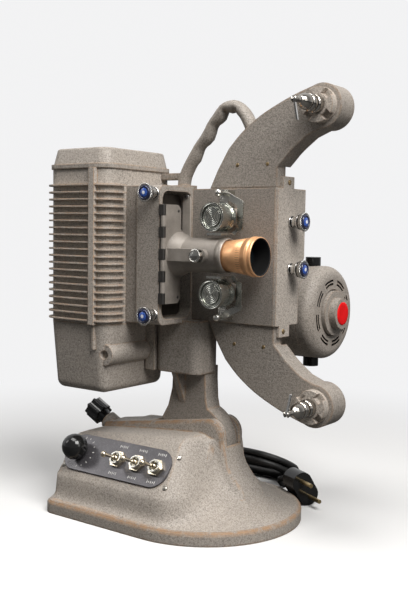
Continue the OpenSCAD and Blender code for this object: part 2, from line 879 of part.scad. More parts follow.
module lamphouse_shell() {
    top_fin = house_top - 14;
    color(paint) difference() {
        union() {
            translate([0, 0, house_z])
                linear_extrude(house_top - house_z)
                    house_outline(0);
            for (i = [0 : fin_n - 1])
                translate([0, 0, top_fin - fin_t - i * fin_pitch])
                    linear_extrude(fin_t)
                        house_outline(fin_out);
            block([rib_x, rib_x + rib_w], [house_y - fin_out - 0.6, house_y + 2], [house_z, house_top]);
        }
        translate([0, 0, house_z - 1])
            linear_extrude(house_top - house_z + 2)
                house_outline(-house_wall);
        block([house_x, house_x + 20], [gate_y - 0.3, half_w], [house_z - 1, house_top + 1]);
        rod_x(axis_y, axis_z, 13.1, house_x - 10, house_x + 1);
    }
    color(paint) difference() {
        rod_x(axis_y, axis_z, 16, house_x - 15, house_x - house_wall);
        rod_x(axis_y, axis_z, 13, house_x - 18, house_x);
    }
}

// Half section of a round corner post that leans in by draft and ends in a rounded edge
module crown_post(w, h, r, draft) {
    polygon(concat([[0, 0], [w, 0]],
        [for (a = [0 : 15 : 90]) [w - draft - r + r * cos(a), h - r + r * sin(a)]], [[0, h]]));
}

module lamphouse_cap() {
    color(paint) difference() {
        union() {
            translate([0, 0, house_top])
                linear_extrude(4)
                    house_outline(1.5);
            hull()
                for (x = [house_x - house_r - 1, house_x - house_l + house_r + 1],
                    y = [house_y + house_r + 1, house_y + house_w - house_r - 1])
                    translate([x, y, house_top + 3])
                        rotate_extrude($fn = 32)
                            crown_post(house_r + 1, crown_top - house_top - 3, 2.5, 3.5);
        }
        translate([0, 0, house_top - 1])
            linear_extrude(6)
                house_outline(-house_wall - 2);
        for (i = [-3 : 3])
            block([house_x - house_l + 16, house_x - 16], [axis_y + 9 * i - 2, axis_y + 9 * i + 2],
                [house_top + 3, crown_top + 1]);
    }
}

module lower_housing() {
    round_b = 8;
    color(paint) difference() {
        union() {
            hull()
                for (x = [house_x - house_r, house_x - house_l + house_r],
                    y = [house_y + house_r, house_y + house_w - house_r])
                    translate([x, y, duct_z])
                        rotate_extrude($fn = 32)
                            translate([0, house_z - duct_z])
                                mirror([0, 1])
                                    crown_post(house_r, house_z - duct_z, round_b, duct_draft);
            rod_y(duct_boss[0], duct_boss[1], 9.5, house_y + 5, box_y);
            block([rib_x + 2, rib_x + rib_w - 2], [house_y - 1.6, house_y + 2], [duct_z + 40, house_z]);
            block([house_x - 1, box_x[0]], [box_y, stem_y], [box_z, house_z]);
        }
        rod_y(duct_boss[0], duct_boss[1], 4, house_y, house_y + 8);
        translate([lamp_x, axis_y, socket_z])
            cylinder(r = 20, h = house_z);
        block([house_x, house_x + 60], [gate_y - 0.3, half_w], [gate_z, house_top]);
        block([house_x, house_x + 60], [plate_y - 0.1, half_w], [mech_z, house_top]);
    }
}

module lamp_socket() {
    color(black) translate([lamp_x, axis_y, socket_z]) difference() {
        union() {
            cylinder(r = 19.9, h = 14);
            cylinder(r = 17, h = 34);
        }
        translate([0, 0, 8])
            cylinder(r = 14, h = 40);
    }
}

module lamp() {
    color("#dfe4e6") translate([lamp_x, axis_y, socket_z + 8]) {
        cylinder(r = 13.9, h = 32);
        translate([0, 0, 28])
            cylinder(r = 15, h = 84);
        translate([0, 0, 112])
            sphere(r = 15);
    }
}

module condensers() {
    color("#dfe4e6")
        for (x = [house_x - 14, house_x - 7])
            rod_x(axis_y, axis_z, 13 - run, x, x + 5);
}

// Film gate
module gate_block() {
    color(paint) difference() {
        along_x(house_x, gate_x)
            round_rect([gate_y, plate_y + 6], [gate_z, gate_z + gate_h], 6);
        block([house_x - 1, gate_x - 26], [gate_y - 1, gate_y + 4], [gate_z - 1, gate_z + gate_h + 1]);
        block([house_x - 1, gate_x + 1], [plate_y, plate_y + 20], [gate_z - 1, gate_z + gate_h + 1]);
        along_x(window_x, gate_x + 1)
            round_rect([gate_y + window_wall, plate_y - 2], [gate_z + 5, gate_z + gate_h - 5], 8);
        rod_x(axis_y, axis_z, 11, house_x - 1, gate_x);
        block([shutter_x - 2.5, shutter_x + 2.5], [-shutter_r - 1 + shaft_y, plate_y + 1],
            [axis_z - shutter_r - 1, axis_z + shutter_r + 1]);
        block([window_x - 9.2, window_x + 1], [axis_y - 8.2, axis_y - 3.8], [axis_z - 27, axis_z - 9]);
        for (z = [53, -53.5])
            rod_y(-3, axis_z + z, 3 + run, gate_y - 1, gate_y + window_wall + 1);
    }
}

module aperture_plate() {
    color(steel) difference() {
        along_x(window_x, window_x + 2)
            round_rect([gate_y + window_wall + 1, plate_y - 3], [gate_z + 7, gate_z + gate_h - 7], 6);
        block([window_x - 1, window_x + 3], [axis_y - 4.9, axis_y + 4.9], [axis_z - 3.6, axis_z + 3.6]);
        block([window_x - 1, window_x + 3], [axis_y - 8.2, axis_y - 5.8], [axis_z - 20, axis_z - 9]);
    }
}

module claw() {
    color(steel) {
        block([window_x - 9, window_x - 6], [axis_y - 8, axis_y - 4], [axis_z - 22.5, axis_z - 13.5]);
        block([window_x - 7, window_x + 3.5], [axis_y - 8, axis_y - 6], [axis_z - 15.5, axis_z - 13.5]);
    }
}

module knuckle_row(odd, r, extra) {
    step = 2 * hinge_half / knuckles;
    for (i = [odd : 2 : knuckles - 1])
        translate([hinge_x, hinge_y, axis_z - hinge_half + i * step + 0.15 - extra])
            cylinder(r = r, h = step - 0.3 + 2 * extra);
}

module hinge_leaf() {
    step = 2 * hinge_half / knuckles;
    color(steel) {
        block([gate_x, gate_x + 1], [gate_y, gate_y + window_wall],
            [axis_z - hinge_half, axis_z + hinge_half]);
        knuckle_row(0, hinge_r, 0);
        for (i = [0 : 2 : knuckles - 1])
            translate([gate_x, gate_y - 1, axis_z - hinge_half + i * step + 0.15])
                cube([hinge_x - gate_x, 2, step - 0.3]);
        translate([hinge_x, hinge_y, axis_z - hinge_half])
            cylinder(r = 1.1, h = 2 * hinge_half);
    }
}

// Lens carrier and lens
module carrier_plate() {
    neck = 22;
    half = [[hinge_y + 2.6, hinge_half], [axis_y - 3, hinge_half], [axis_y + 1, hinge_half - 4],
        [axis_y + 1, neck], [axis_y + holder_r - 2, neck - 8]];
    polygon(concat(half, [for (i = [len(half) - 1 : -1 : 0]) [half[i][0], -half[i][1]]]));
}

module lens_carrier() {
    color("#8f887e") difference() {
        union() {
            along_x(door_x[0], door_x[1])
                translate([0, axis_z])
                    carrier_plate();
            knuckle_row(1, hinge_r, 0);
            for (i = [1 : 2 : knuckles - 1])
                translate([door_x[0], hinge_y, axis_z - hinge_half + i * 2 * hinge_half / knuckles + 0.15])
                    cube([door_x[1] - door_x[0], 4, 2 * hinge_half / knuckles - 0.3]);
            translate([door_x[1] - 0.5, axis_y, axis_z])
                rotate([0, 90, 0])
                    cylinder(r1 = holder_r + 5, r2 = holder_r, h = 12);
            rod_x(axis_y, axis_z, holder_r, door_x[0], holder_front);
            block([door_x[1] - 0.5, clamp_x], [block_y, axis_y], [axis_z - 5.5, axis_z + 5.5]);
            rod_y(clamp_x, axis_z, 5.5, block_y, axis_y);
        }
        rod_x(axis_y, axis_z, barrel_r + run, door_x[0] - 1, holder_front + 1);
        rod_y(clamp_x, axis_z, 2.5 + run, block_y - 1, axis_y);
        translate([hinge_x, hinge_y, axis_z - hinge_half - 1])
            cylinder(r = 1.1 + run, h = 2 * hinge_half + 2);
    }
}

module lens_barrel() {
    front = holder_front + gap + barrel_out;
    color(copper)
        translate([0, axis_y, axis_z])
            rotate([0, 90, 0])
                rotate_extrude($fn = 96)
                    polygon([[barrel_r - 2, 10], [barrel_r, 10], [barrel_r, holder_front + gap],
                        [barrel_r + 0.8, holder_front + gap], [barrel_r + 0.8, front - 26],
                        [barrel_r + 2.4, front - 9], [barrel_r + 2.4, front - 8],
                        [barrel_r + 3.2, front - 7], [barrel_r + 3.2, front], [barrel_r + 1.4, front],
                        [barrel_r - 1, front - 8], [barrel_r - 2, front - 12]]);
}

module lens_glasses() {
    front = holder_front + gap + barrel_out;
    color("#31404a")
        for (x = [14, front - 20])
            rod_x(axis_y, axis_z, barrel_r - 2 - run, x, x + 6);
}

module clamp_screw() {
    color(chrome) {
        rod_y(clamp_x, axis_z, 2.5, axis_y - barrel_r - 1.6, axis_y - barrel_r - gap);
        rod_y(clamp_x, axis_z, 2.5, block_y - 1, axis_y - barrel_r - 1);
        rod_y(clamp_x, axis_z, 3.6, block_y - 3, block_y - 0.1);
        translate([clamp_x, block_y - 3, axis_z])
            rotate([90, 0, 0])
                cylinder(r = 6, h = 6, $fn = 12);
    }
}

// Film sprockets and their keepers
module sprocket(lower) {
    y0 = sprocket_y[0];
    y1 = sprocket_y[1];
    dz = sprocket_span / 2;
    color(chrome) mirror_z(lower) {
        rod_y(sprocket_x, dz, sprocket_r - 1.4, y0, y1);
        for (y = [[y0, y0 + 3.2], [y1 - 3.2, y1]])
            rod_y(sprocket_x, dz, sprocket_r, y[0], y[1]);
        difference() {
            rod_y(sprocket_x, dz, sprocket_r, y0 - 2.5, y0 + 0.1);
            rod_y(sprocket_x, dz, sprocket_r - 1.8, y0 - 3, y0 - 1);
        }
        rod_y(sprocket_x, dz, sprocket_r - 4, y0 - 2, y0);
        for (a = [0 : 360 / teeth : 359])
            translate([sprocket_x, y1 - 1.6, dz])
                rotate([0, a, 0])
                    translate([sprocket_r - 0.3, -0.6, -0.6])
                        cube([0.9, 1.2, 1.2]);
        rod_y(sprocket_x, dz, shaft_r, y1 - 1, shaft_y + 8);
        rod_y(sprocket_x, dz, wheel_r, shaft_y - 3, shaft_y + 3);
    }
}

module upper_sprocket() { sprocket(false); }
module lower_sprocket() { sprocket(true); }

module keeper_posts() {
    color(steel) for (lower = [false, true]) mirror_z(lower) {
        block([post_x - 5, post_x + 3.5], [plate_y - 11, plate_y], [post_dz - 11, post_dz + 3]);
        rod_y(post_x, post_dz, 2, plate_y - 18, plate_y - 10.5);
        translate([post_x, plate_y - 20, post_dz])
            sphere(r = 3.4);
    }
}

module keeper(lower) {
    dz = sprocket_span / 2;
    back = plate_y - 11 - gap;
    pad = dz - sprocket_r - 1.2;
    color(steel) mirror_z(lower) {
        difference() {
            along_y(back - 1.8, back) {
                link_2d([post_x, post_dz], [post_x + 18, dz + 12], 6);
                link_2d([post_x + 18, dz + 12], [post_x + 18, dz - 8], 6);
                link_2d([post_x + 18, dz - 8], [post_x + 12, pad - 0.2], 3.6);
            }
            rod_y(post_x, post_dz, 2 + run, back - 3, back + 1);
        }
        block([post_x - 3, post_x + 12], [sprocket_y[0], back], [pad - 2, pad]);
    }
}

module upper_keeper() { keeper(false); }
module lower_keeper() { keeper(true); }

// Drive
module shutter_shaft() {
    color(steel) {
        rod_x(shaft_y, axis_z, shaft_r, house_x + 1.3, 58);
        rod_x(shaft_y, axis_z, 9, shutter_x + 0.5, shutter_x + 5);
        translate([57, shaft_y, axis_z])
            rotate([0, 90, 0])
                cylinder(r1 = 8, r2 = 4, h = 6);
        difference() {
            rod_x(shaft_y, axis_z, shutter_r - 1, shutter_x, shutter_x + 1);
            for (a = [0, 180])
                translate([shutter_x - 1, shaft_y, axis_z])
                    rotate([a + 45, 0, 0])
                        block([0, 3], [18, shutter_r], [-12, 24]);
        }
    }
}

module worm_shaft() {
    color(steel) translate([worm_x, shaft_y, 0]) {
        translate([0, 0, mech_z + 1.3])
            cylinder(r = 3, h = mech_h - 2.6);
        for (s = [-1, 1])
            translate([0, 0, axis_z + s * sprocket_span / 2 - 8])
                cylinder(r = worm_r, h = 16);
        translate([0, 0, axis_z - 14])
            cylinder(r1 = 9, r2 = 4, h = 5);
    }
}

// Motor
module motor_shell() {
    color(paint) difference() {
        union() {
            rod_x(motor_y, motor_z, motor_r, motor_rear, motor_front);
            block([20, 70], [mech_low, motor_y], [motor_z - 15, motor_z + 15]);
        }
        rod_x(motor_y, motor_z, motor_r - 3, motor_rear + 3, motor_front + 1);
        rod_x(motor_y, motor_z, shaft_r + run, motor_rear - 1, motor_rear + 4);
        for (s = [-1, 1])
            translate([motor_front - 6, motor_y, motor_z + s * motor_r - 8])
                cylinder(r = 5 + run, h = 16);
    }
}

module bell_outline() {
    r = 10;
    polygon(concat([[shaft_r + run, bell_face - 6], [22, bell_face - 6], [22, bell_face],
        [motor_r - r, bell_face]],
        [for (a = [80 : -10 : 0]) [motor_r - r + r * cos(a), bell_face - r + r * sin(a)]],
        [[motor_r, motor_front], [motor_r - 3, motor_front], [motor_r - 3, bell_face - r],
        [motor_r - r, bell_face - 3], [24.5, bell_face - 3], [24.5, bell_face - 9],
        [shaft_r + run, bell_face - 9]]));
}

module motor_bell() {
    color(paint) translate([0, motor_y, motor_z]) difference() {
        rotate([0, 90, 0])
            rotate_extrude($fn = 96)
                bell_outline();
        for (a = [0 : 45 : 315], r = [26.3, 29.5])
            rotate([a, 0, 0])
                translate([bell_face, 0, 0])
                    rotate([0, 90, 0])
                        rotate_extrude(angle = 30)
                            translate([r, -5])
                                square([1.5, 10]);
    }
}

module brush_caps() {
    color(black)
        for (s = [-1, 1])
            translate([motor_front - 6, motor_y, motor_z])
                mirror([0, 0, s < 0 ? 1 : 0]) {
                    translate([0, 0, motor_r - 7])
                        cylinder(r = 5, h = 8);
                    translate([0, 0, motor_r + 0.1])
                        cylinder(r = 7.2, h = 8);
                }
}

module motor_rotor() {
    color(steel) {
        rod_x(motor_y, motor_z, shaft_r, motor_rear - 6, bell_face);
        rod_x(motor_y, motor_z, 30, 20, 72);
        rod_x(motor_y, motor_z, 9, motor_rear - 9, motor_rear - 0.4);
        rod_x(motor_y, motor_z, 21, bell_face - 5.5, bell_face + 3.5);
        rod_x(motor_y, motor_z, 14.4, bell_face + 3, bell_face + 10.5);
    }
}

// Thumb knobs with a set jewel
module thumb_knob(stud) {
    translate([0, 0, -stud])
        cylinder(r = 3, h = stud + 1);
    cylinder(r = 4.5, h = 8);
    difference() {
        translate([0, 0, 8])
            cylinder(r1 = 6.5, r2 = 8.2, h = 6.5);
        translate([0, 0, 13.5])
            cylinder(r = 6.2, h = 2);
    }
    translate([0, 0, 13.5])
        intersection() {
            cylinder(r = 5.6, h = 2);
            translate([0, 0, -8])
                sphere(r = 9.8);
        }
}

module gate_knob(dz) {
    color(chrome)
        translate([-3, gate_y - 0.1, axis_z + dz])
            rotate([90, 0, 0])
                thumb_knob(window_wall);
}

module cover_knob(dz) {
    color(chrome)
        translate([mech_x + cover_t + 0.1, 12, axis_z + dz])
            rotate([0, 90, 0])
                thumb_knob(cover_t);
}

module gate_knob_top() { gate_knob(53); }
module gate_knob_bottom() { gate_knob(-53.5); }
module cover_knob_top() { cover_knob(30); }
module cover_knob_bottom() { cover_knob(-11); }

// Mains cord
module cord_gland() {
    color(black) difference() {
        union() {
            rod_x(gland_y, gland_z, cord_r + 2 - run, gland_x - 1, gland_x + base_wall);
            rod_x(gland_y, gland_z, cord_r + 4, gland_x - 4, gland_x);
            translate([gland_x - 3, gland_y, gland_z])
                rotate([0, -90, 0])
                    cylinder(r1 = cord_r + 3, r2 = cord_r + 1, h = gland_l - 3);
        }
        rod_x(gland_y, gland_z, cord_r + run, gland_x - gland_l - 1, gland_x + base_wall + 1);
    }
}

// One loop is two straight runs and two half circles, taken from the floor side towards the rear
function loop_at(k, r) =
    k < 3 ? [coil_run / 2 - coil_run * k / 3, -r] :
    k < 12 ? [-coil_run / 2 + r * cos(270 - 20 * (k - 3)), r * sin(270 - 20 * (k - 3))] :
    k < 15 ? [-coil_run / 2 + coil_run * (k - 12) / 3, r] :
    [coil_run / 2 + r * cos(90 - 20 * (k - 15)), r * sin(90 - 20 * (k - 15))];

// The loops spiral in on the lower layer, climb in half a turn, and spiral out on the upper one
function coil_at(i) =
    let (t = i / rings_per_loop, r = coil_bend + coil_step * abs(coil_loops / 2 - t),
        layer = min(1, max(0, 2 * (t - coil_loops / 2) + 0.5)), q = loop_at(i % rings_per_loop, r))
    coil_mid + coil_u * q[0] + coil_v * q[1] + coil_n * layer * coil_step;

coil_points = [for (i = [0 : rings_per_loop * coil_loops + 3]) coil_at(i)];
coil_end = coil_points[len(coil_points) - 1];
lead_dir = unit(coil_end - coil_points[len(coil_points) - 2]);
tail_dir = unit(coil_points[0] - coil_points[1]);
gland_end = [gland_x - gland_l, gland_y, gland_z];
lead_route = concat([coil_end], spline(concat([coil_end + cord_d * lead_dir], lead_points,
    [gland_end - [cord_d, 0, 0]]), 2), [gland_end]);
tail_route = concat([coil_points[0]], spline(concat([coil_points[0] + cord_d * tail_dir], tail_points,
    [plug_rear - cord_d * plug_dir]), 2), [plug_rear]);

function path_length(p) =
    let (steps = [for (i = [1 : len(p) - 1]) norm(p[i] - p[i - 1])])
    steps * [for (s = steps) 1];
coil_gap = min([for (i = [0 : len(coil_points) - 1], j = [i + 9 : 1 : len(coil_points) - 1])
    norm(coil_points[i] - coil_points[j])]) - cord_d;
cord_length = path_length(lead_route) + path_length(coil_points) + path_length(tail_route);
echo(coil_gap = coil_gap, cord_length = cord_length);

module cord_lead() {
    color(black)
        sweep(lead_route, [0, 0, 1], cord_r, cord_r, 8);
}

module cord_coil() {
    color(black)
        sweep(coil_points, coil_n, cord_r, cord_r, 6);
}

module cord_tail() {
    color(black)
        sweep(tail_route, [0, 0, 1], cord_r, cord_r, 8);
}

module on_plug() {
    translate(plug_rear)
        rotate([0, 0, plug_turn])
            rotate([plug_roll, 0, 0])
                children();
}

module plug_body() {
    half = (plug_w - plug_t) / 2;
    color(black) on_plug() difference() {
        union() {
            rotate([90, 0, 90])
                translate([0, 0, 14])
                    linear_extrude(plug_l - 14) {
                        square([2 * half, plug_t], center = true);
                        for (y = [-half, half])
                            translate([y, 0])
                                circle(d = plug_t);
                    }
            rotate([0, 90, 0])
                cylinder(r1 = cord_r + 2, r2 = plug_t / 2, h = 15);
        }
        for (s = [-1, 1])
            rod_x(s * pin_gap / 2, 0, pin_r, plug_l - 10, plug_l + 1);
    }
}

module plug_pins() {
    color(brass) on_plug()
        for (s = [-1, 1])
            rod_x(s * pin_gap / 2, 0, pin_r, plug_l - 10, plug_l + pin_l);
}

base_casting();
base_plate();
panel_plate();
switch_bodies();
switch_nuts();
rheostat();
pivot_pin();
cord_gland();
cord_lead();
cord_coil();
cord_tail();
plug_body();
plug_pins();
tilt_knob();
tilt_nut();
speed_knob();
toggle_motor();
toggle_lamp();
toggle_direction();
stem_casting();
mech_housing();
front_cover();
head_screws();
upper_arm();
lower_arm();
arm_bearings();
handle();
lamphouse_shell();
lamphouse_cap();
lower_housing();
lamp();
lamp_socket();
condensers();
gate_block();
aperture_plate();
hinge_leaf();
keeper_posts();
motor_shell();
motor_bell();
brush_caps();
motor_rotor();
shutter_shaft();
worm_shaft();
claw();
upper_sprocket();
lower_sprocket();
upper_keeper();
lower_keeper();
upper_spindle();
lower_spindle();
upper_latch();
lower_latch();
lens_carrier();
lens_barrel();
lens_glasses();
clamp_screw();
gate_knob_top();
gate_knob_bottom();
cover_knob_top();
cover_knob_bottom();
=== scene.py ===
"""Looks of a film projector on a tilting cast stand: paint, plating, cord, trim and stage."""

import json
import math

import bmesh
import bpy
from bpy.props import FloatProperty, FloatVectorProperty, IntProperty, PointerProperty
from mathutils import Matrix, Vector
from mathutils.bvhtree import BVHTree

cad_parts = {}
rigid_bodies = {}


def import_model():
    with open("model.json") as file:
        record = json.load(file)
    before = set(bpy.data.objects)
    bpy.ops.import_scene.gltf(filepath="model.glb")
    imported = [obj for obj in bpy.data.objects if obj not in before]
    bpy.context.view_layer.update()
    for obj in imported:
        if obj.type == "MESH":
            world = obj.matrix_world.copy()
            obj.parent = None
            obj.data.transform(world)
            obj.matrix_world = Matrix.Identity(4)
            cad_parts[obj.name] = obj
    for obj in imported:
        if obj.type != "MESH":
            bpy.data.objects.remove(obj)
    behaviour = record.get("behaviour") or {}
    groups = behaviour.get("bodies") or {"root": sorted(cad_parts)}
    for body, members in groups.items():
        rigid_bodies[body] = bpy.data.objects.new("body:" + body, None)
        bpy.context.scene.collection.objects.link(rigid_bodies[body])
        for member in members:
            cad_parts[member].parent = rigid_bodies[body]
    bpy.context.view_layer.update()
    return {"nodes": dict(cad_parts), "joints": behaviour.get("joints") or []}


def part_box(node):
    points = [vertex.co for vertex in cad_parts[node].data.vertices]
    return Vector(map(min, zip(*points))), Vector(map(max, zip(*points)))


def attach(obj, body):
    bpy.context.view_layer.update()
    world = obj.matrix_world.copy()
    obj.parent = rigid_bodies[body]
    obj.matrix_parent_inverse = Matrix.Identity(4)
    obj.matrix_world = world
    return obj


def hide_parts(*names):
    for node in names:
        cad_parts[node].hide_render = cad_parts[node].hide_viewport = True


bl_info = {
    "name": "Film Projector Looks",
    "version": (1, 0, 0),
    "blender": (4, 5, 0),
    "location": "3D View > Sidebar > Projector",
    "description": "Finishes and small trim for a film projector on a cast tilting stand",
    "category": "Object",
}

for leftover in list(bpy.data.objects):
    bpy.data.objects.remove(leftover)

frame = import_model()
NODES = frame["nodes"]
JOINTS = {j["name"]: j for j in frame["joints"]}
MM = 0.001
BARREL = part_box("lens_barrel")
LENS_Y, LENS_Z = (BARREL[0].y + BARREL[1].y) / 2, (BARREL[0].z + BARREL[1].z) / 2
TICK_X = BARREL[1].x - 14 * MM
PANEL_LEAN = math.radians(38)
PANEL_T = 2 * MM
PIN_Y = LENS_Y - 2.6 * MM
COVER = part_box("front_cover")
SLOT_HALF = 1.4 * MM
LOOP_KNOTS = 24
TIE_STEPS = 32
UP = Vector((0, 0, 1))


# Shader expressions

class Wire:
    """An output socket that adds Math nodes when it is used in an expression."""

    def __init__(self, nodes, made, out):
        self.nodes = nodes
        self.made = made
        self.socket = made.outputs[out] if made.outputs else None

    def math(self, operation, a, b=0.0):
        return self.nodes.node("ShaderNodeMath", {"operation": operation}, {0: a, 1: b})

    def __add__(self, other):
        return self.math("ADD", self, other)

    __radd__ = __add__

    def __sub__(self, other):
        return self.math("SUBTRACT", self, other)

    def __rsub__(self, other):
        return self.math("SUBTRACT", other, self)

    def __mul__(self, other):
        return self.math("MULTIPLY", self, other)

    __rmul__ = __mul__

    def __truediv__(self, other):
        return self.math("DIVIDE", self, other)

    def __rtruediv__(self, other):
        return self.math("DIVIDE", other, self)

    def __pow__(self, other):
        return self.math("POWER", self, other)

    def __rpow__(self, other):
        return self.math("POWER", other, self)

    def sine(self):
        return self.math("SINE", self)

    def fit(self, low, high, to_low=0.0, to_high=1.0):
        """Smooth step of this value from low..high to to_low..to_high."""
        return self.nodes.node(
            "ShaderNodeMapRange", {"interpolation_type": "SMOOTHSTEP"},
            {"Value": self, "From Min": low, "From Max": high, "To Min": to_low, "To Max": to_high})

    def between(self, low, high, soft):
        """1 from low to high, with soft ends."""
        return self.fit(low, low + soft) * self.fit(high, high + soft, 1.0, 0.0)


class Nodes:
    """The node tree of a material or of the world, filled by one method."""

    def __init__(self, owner):
        owner.use_nodes = True
        self.tree = owner.node_tree
        self.tree.nodes.clear()

    def node(self, kind, settings=None, inputs=None, out=0):
        """Add a node: its settings first, then its socket values and links."""
        made = self.tree.nodes.new(kind)
        for key, value in (settings or {}).items():
            setattr(made, key, value)
        for key, value in (inputs or {}).items():
            self.feed(made.inputs[key], value)
        return Wire(self, made, out)

    def feed(self, socket, value):
        if isinstance(value, Wire):
            self.tree.links.new(value.socket, socket)
        elif socket.type == "RGBA" and len(value) == 3:
            socket.default_value = (*value, 1.0)
        else:
            socket.default_value = value

    def vector(self, operation, a, b, out="Vector"):
        return self.node("ShaderNodeVectorMath", {"operation": operation}, {0: a, 1: b}, out)

    def dot(self, a, b):
        return self.vector("DOT_PRODUCT", a, b, "Value")


class Shading(Nodes):
    """One material with a principled surface."""

    def __init__(self, name):
        self.material = bpy.data.materials.new(name)
        super().__init__(self.material)
        self.surface = self.node("ShaderNodeBsdfPrincipled")
        self.output = self.node("ShaderNodeOutputMaterial", inputs={"Surface": self.surface})

    def set(self, **inputs):
        """Fill sockets of the surface; an underscore in a name stands for a space."""
        for key, value in inputs.items():
            self.feed(self.surface.made.inputs[key.replace("_", " ")], value)
        return self.material

    def place(self):
        return self.node("ShaderNodeTexCoord", out="Object")

    def noise(self, scale, detail, rough):
        return self.node("ShaderNodeTexNoise", {}, {
            "Vector": self.place(), "Scale": scale, "Detail": detail, "Roughness": rough})

    def cells(self, scale):
        return self.node("ShaderNodeTexVoronoi", {"feature": "SMOOTH_F1"}, {
            "Vector": self.place(), "Scale": scale})

    def mix(self, factor, a, b):
        return self.node("ShaderNodeMix", {"data_type": "RGBA"}, {0: factor, 6: a, 7: b}, 2)

    def polar(self, centre, axis, parts):
        """Distance from an axis (r), place along it (z) and turn about it (t), as parts asks."""
        turned = facing(centre, axis).to_3x3()
        x, y, z = (tuple(turned.col[i]) for i in range(3))
        away = self.vector("SUBTRACT", self.place(), tuple(centre))
        u, v = self.dot(away, x), self.dot(away, y)
        known = {"r": lambda: (u * u + v * v) ** 0.5, "z": lambda: self.dot(away, z),
                 "t": lambda: u.math("ARCTAN2", v, u)}
        return [known[part]() for part in parts]

    def inward(self, centre, axis):
        """1 on faces that look at an axis, 0 on those that look away from it."""
        turned = facing(centre, axis).to_3x3()
        x, y = (tuple(turned.col[i]) for i in range(2))
        away = self.vector("SUBTRACT", self.place(), tuple(centre))
        look = self.node("ShaderNodeTexCoord", out="Normal")
        lean = self.dot(away, x) * self.dot(look, x) + self.dot(away, y) * self.dot(look, y)
        return lean.math("LESS_THAN", lean, -1e-5)

    def rounded(self, radius):
        """Surface direction with the edges eased over a small radius."""
        return self.node("ShaderNodeBevel", {"samples": 4}, {"Radius": radius})

    def edges(self, radius):
        """How far the eased direction leans from the true one: 1 on sharp edges, 0 on flats."""
        plain = self.node("ShaderNodeNewGeometry", out="Normal")
        return (1.0 - self.dot(self.rounded(radius), plain)).fit(0.015, 0.12)

    def bump(self, height, strength, distance, normal=None):
        inputs = {"Height": height, "Strength": strength, "Distance": distance}
        if normal:
            inputs["Normal"] = normal
        return self.node("ShaderNodeBump", {}, inputs)


def grey(v):
    return (v, v, v)


def scaled(colour, factor):
    return [c * factor for c in colour]


def hammered_enamel(name, look, ease, wear, lift, soot_and_shade=None):
    """Hammered grey-brown enamel, rubbed to primer on its edges, lightened or darkened by lift as
    painted light and shade, and black with painted shade where the slot mask is 1.
    """
    s = Shading(name)
    # lift scales the enamel of one casting: painted light on lit castings, painted shade on shaded
    # ones.
    body = scaled(look.enamel, lift)
    fine = s.noise(1100.0, 2.0, 0.6)
    grain = s.cells(520.0)
    broad = s.noise(20.0, 3.0, 0.6)
    colour = s.mix(fine.fit(0.36, 0.64), scaled(body, 0.50), scaled(body, 1.18))
    colour = s.mix(grain.fit(0.05, 0.75) * 0.36, colour, scaled(body, 1.55))
    colour = s.mix(broad.fit(0.35, 0.75) * 0.16, colour, look.dust)
    rub = s.edges(ease * 1.6) * s.noise(120.0, 4.0, 0.7).fit(0.32, 0.56) * wear
    colour = s.mix(rub, colour, look.primer)
    # Where a slot mask is given, near-black is painted over the enamel as painted shade.
    if soot_and_shade:
        colour = s.mix(soot_and_shade(s), colour, grey(0.004))
    height = grain * 0.8 + fine * 0.6
    normal = s.bump(height, 0.5, 0.4 * MM, s.rounded(ease))
    return s.set(Base_Color=colour, Roughness=fine.fit(0.3, 0.7, 0.66, 0.46), Normal=normal,
                 Specular_IOR_Level=0.4)


def bright_plate(name, tint, rough=0.12, ease=0.3 * MM, brushed=0.0):
    """Plated or polished metal with faint smears."""
    s = Shading(name)
    smear = s.noise(90.0, 4.0, 0.65)
    fine = s.noise(900.0, 2.0, 0.5)
    colour = s.mix(smear.fit(0.4, 0.75) * 0.45, tint, scaled(tint, 0.62))
    worn = rough + smear.fit(0.4, 0.8) * 0.16 + fine * brushed
    return s.set(Base_Color=colour, Metallic=1.0, Roughness=worn,
                 Normal=s.bump(fine, 0.06, 0.1 * MM, s.rounded(ease)))


def black_moulding(name, colour, rough=0.13):
    """Polished black moulding with dust and fine scratches."""
    s = Shading(name)
    dust = s.noise(160.0, 5.0, 0.7)
    fine = s.noise(1200.0, 2.0, 0.6)
    shade = s.mix(dust.fit(0.55, 0.85) * 0.12, colour, grey(0.07))
    return s.set(Base_Color=shade, Roughness=rough + dust.fit(0.5, 0.85) * 0.14,
                 Normal=s.bump(fine, 0.05, 0.1 * MM, s.rounded(0.5 * MM)), Specular_IOR_Level=0.5)


def satin_plate(name, colour, rough=0.42, metal=0.35):
    """Dark plate with a fine satin grain."""
    s = Shading(name)
    fine = s.noise(1400.0, 2.0, 0.6)
    broad = s.noise(40.0, 3.0, 0.6)
    shade = s.mix(broad.fit(0.3, 0.75), scaled(colour, 0.8), scaled(colour, 1.25))
    shade = s.mix(fine.fit(0.5, 0.7) * 0.3, shade, scaled(colour, 1.6))
    return s.set(Base_Color=shade, Metallic=metal, Roughness=rough + fine * 0.12,
                 Normal=s.bump(fine, 0.1, 0.1 * MM, s.rounded(0.4 * MM)))


def ringed_plate(name, centre, axis, tint):
    """Turned plate whose end faces carry concentric rings."""
    s = Shading(name)
    pitch = 1.5 * MM
    out, = s.polar(centre, axis, "r")
    ring = (out * (2 * math.pi / pitch)).sine()
    smear = s.noise(110.0, 4.0, 0.65)
    colour = s.mix(ring.fit(-1.0, 0.3), scaled(tint, 0.30), tint)
    colour = s.mix(smear.fit(0.4, 0.75) * 0.4, colour, scaled(tint, 0.55))
    return s.set(Base_Color=colour, Metallic=1.0, Roughness=0.16 + smear * 0.14,
                 Normal=s.bump(ring, 0.5, 0.25 * MM, s.rounded(0.3 * MM)))


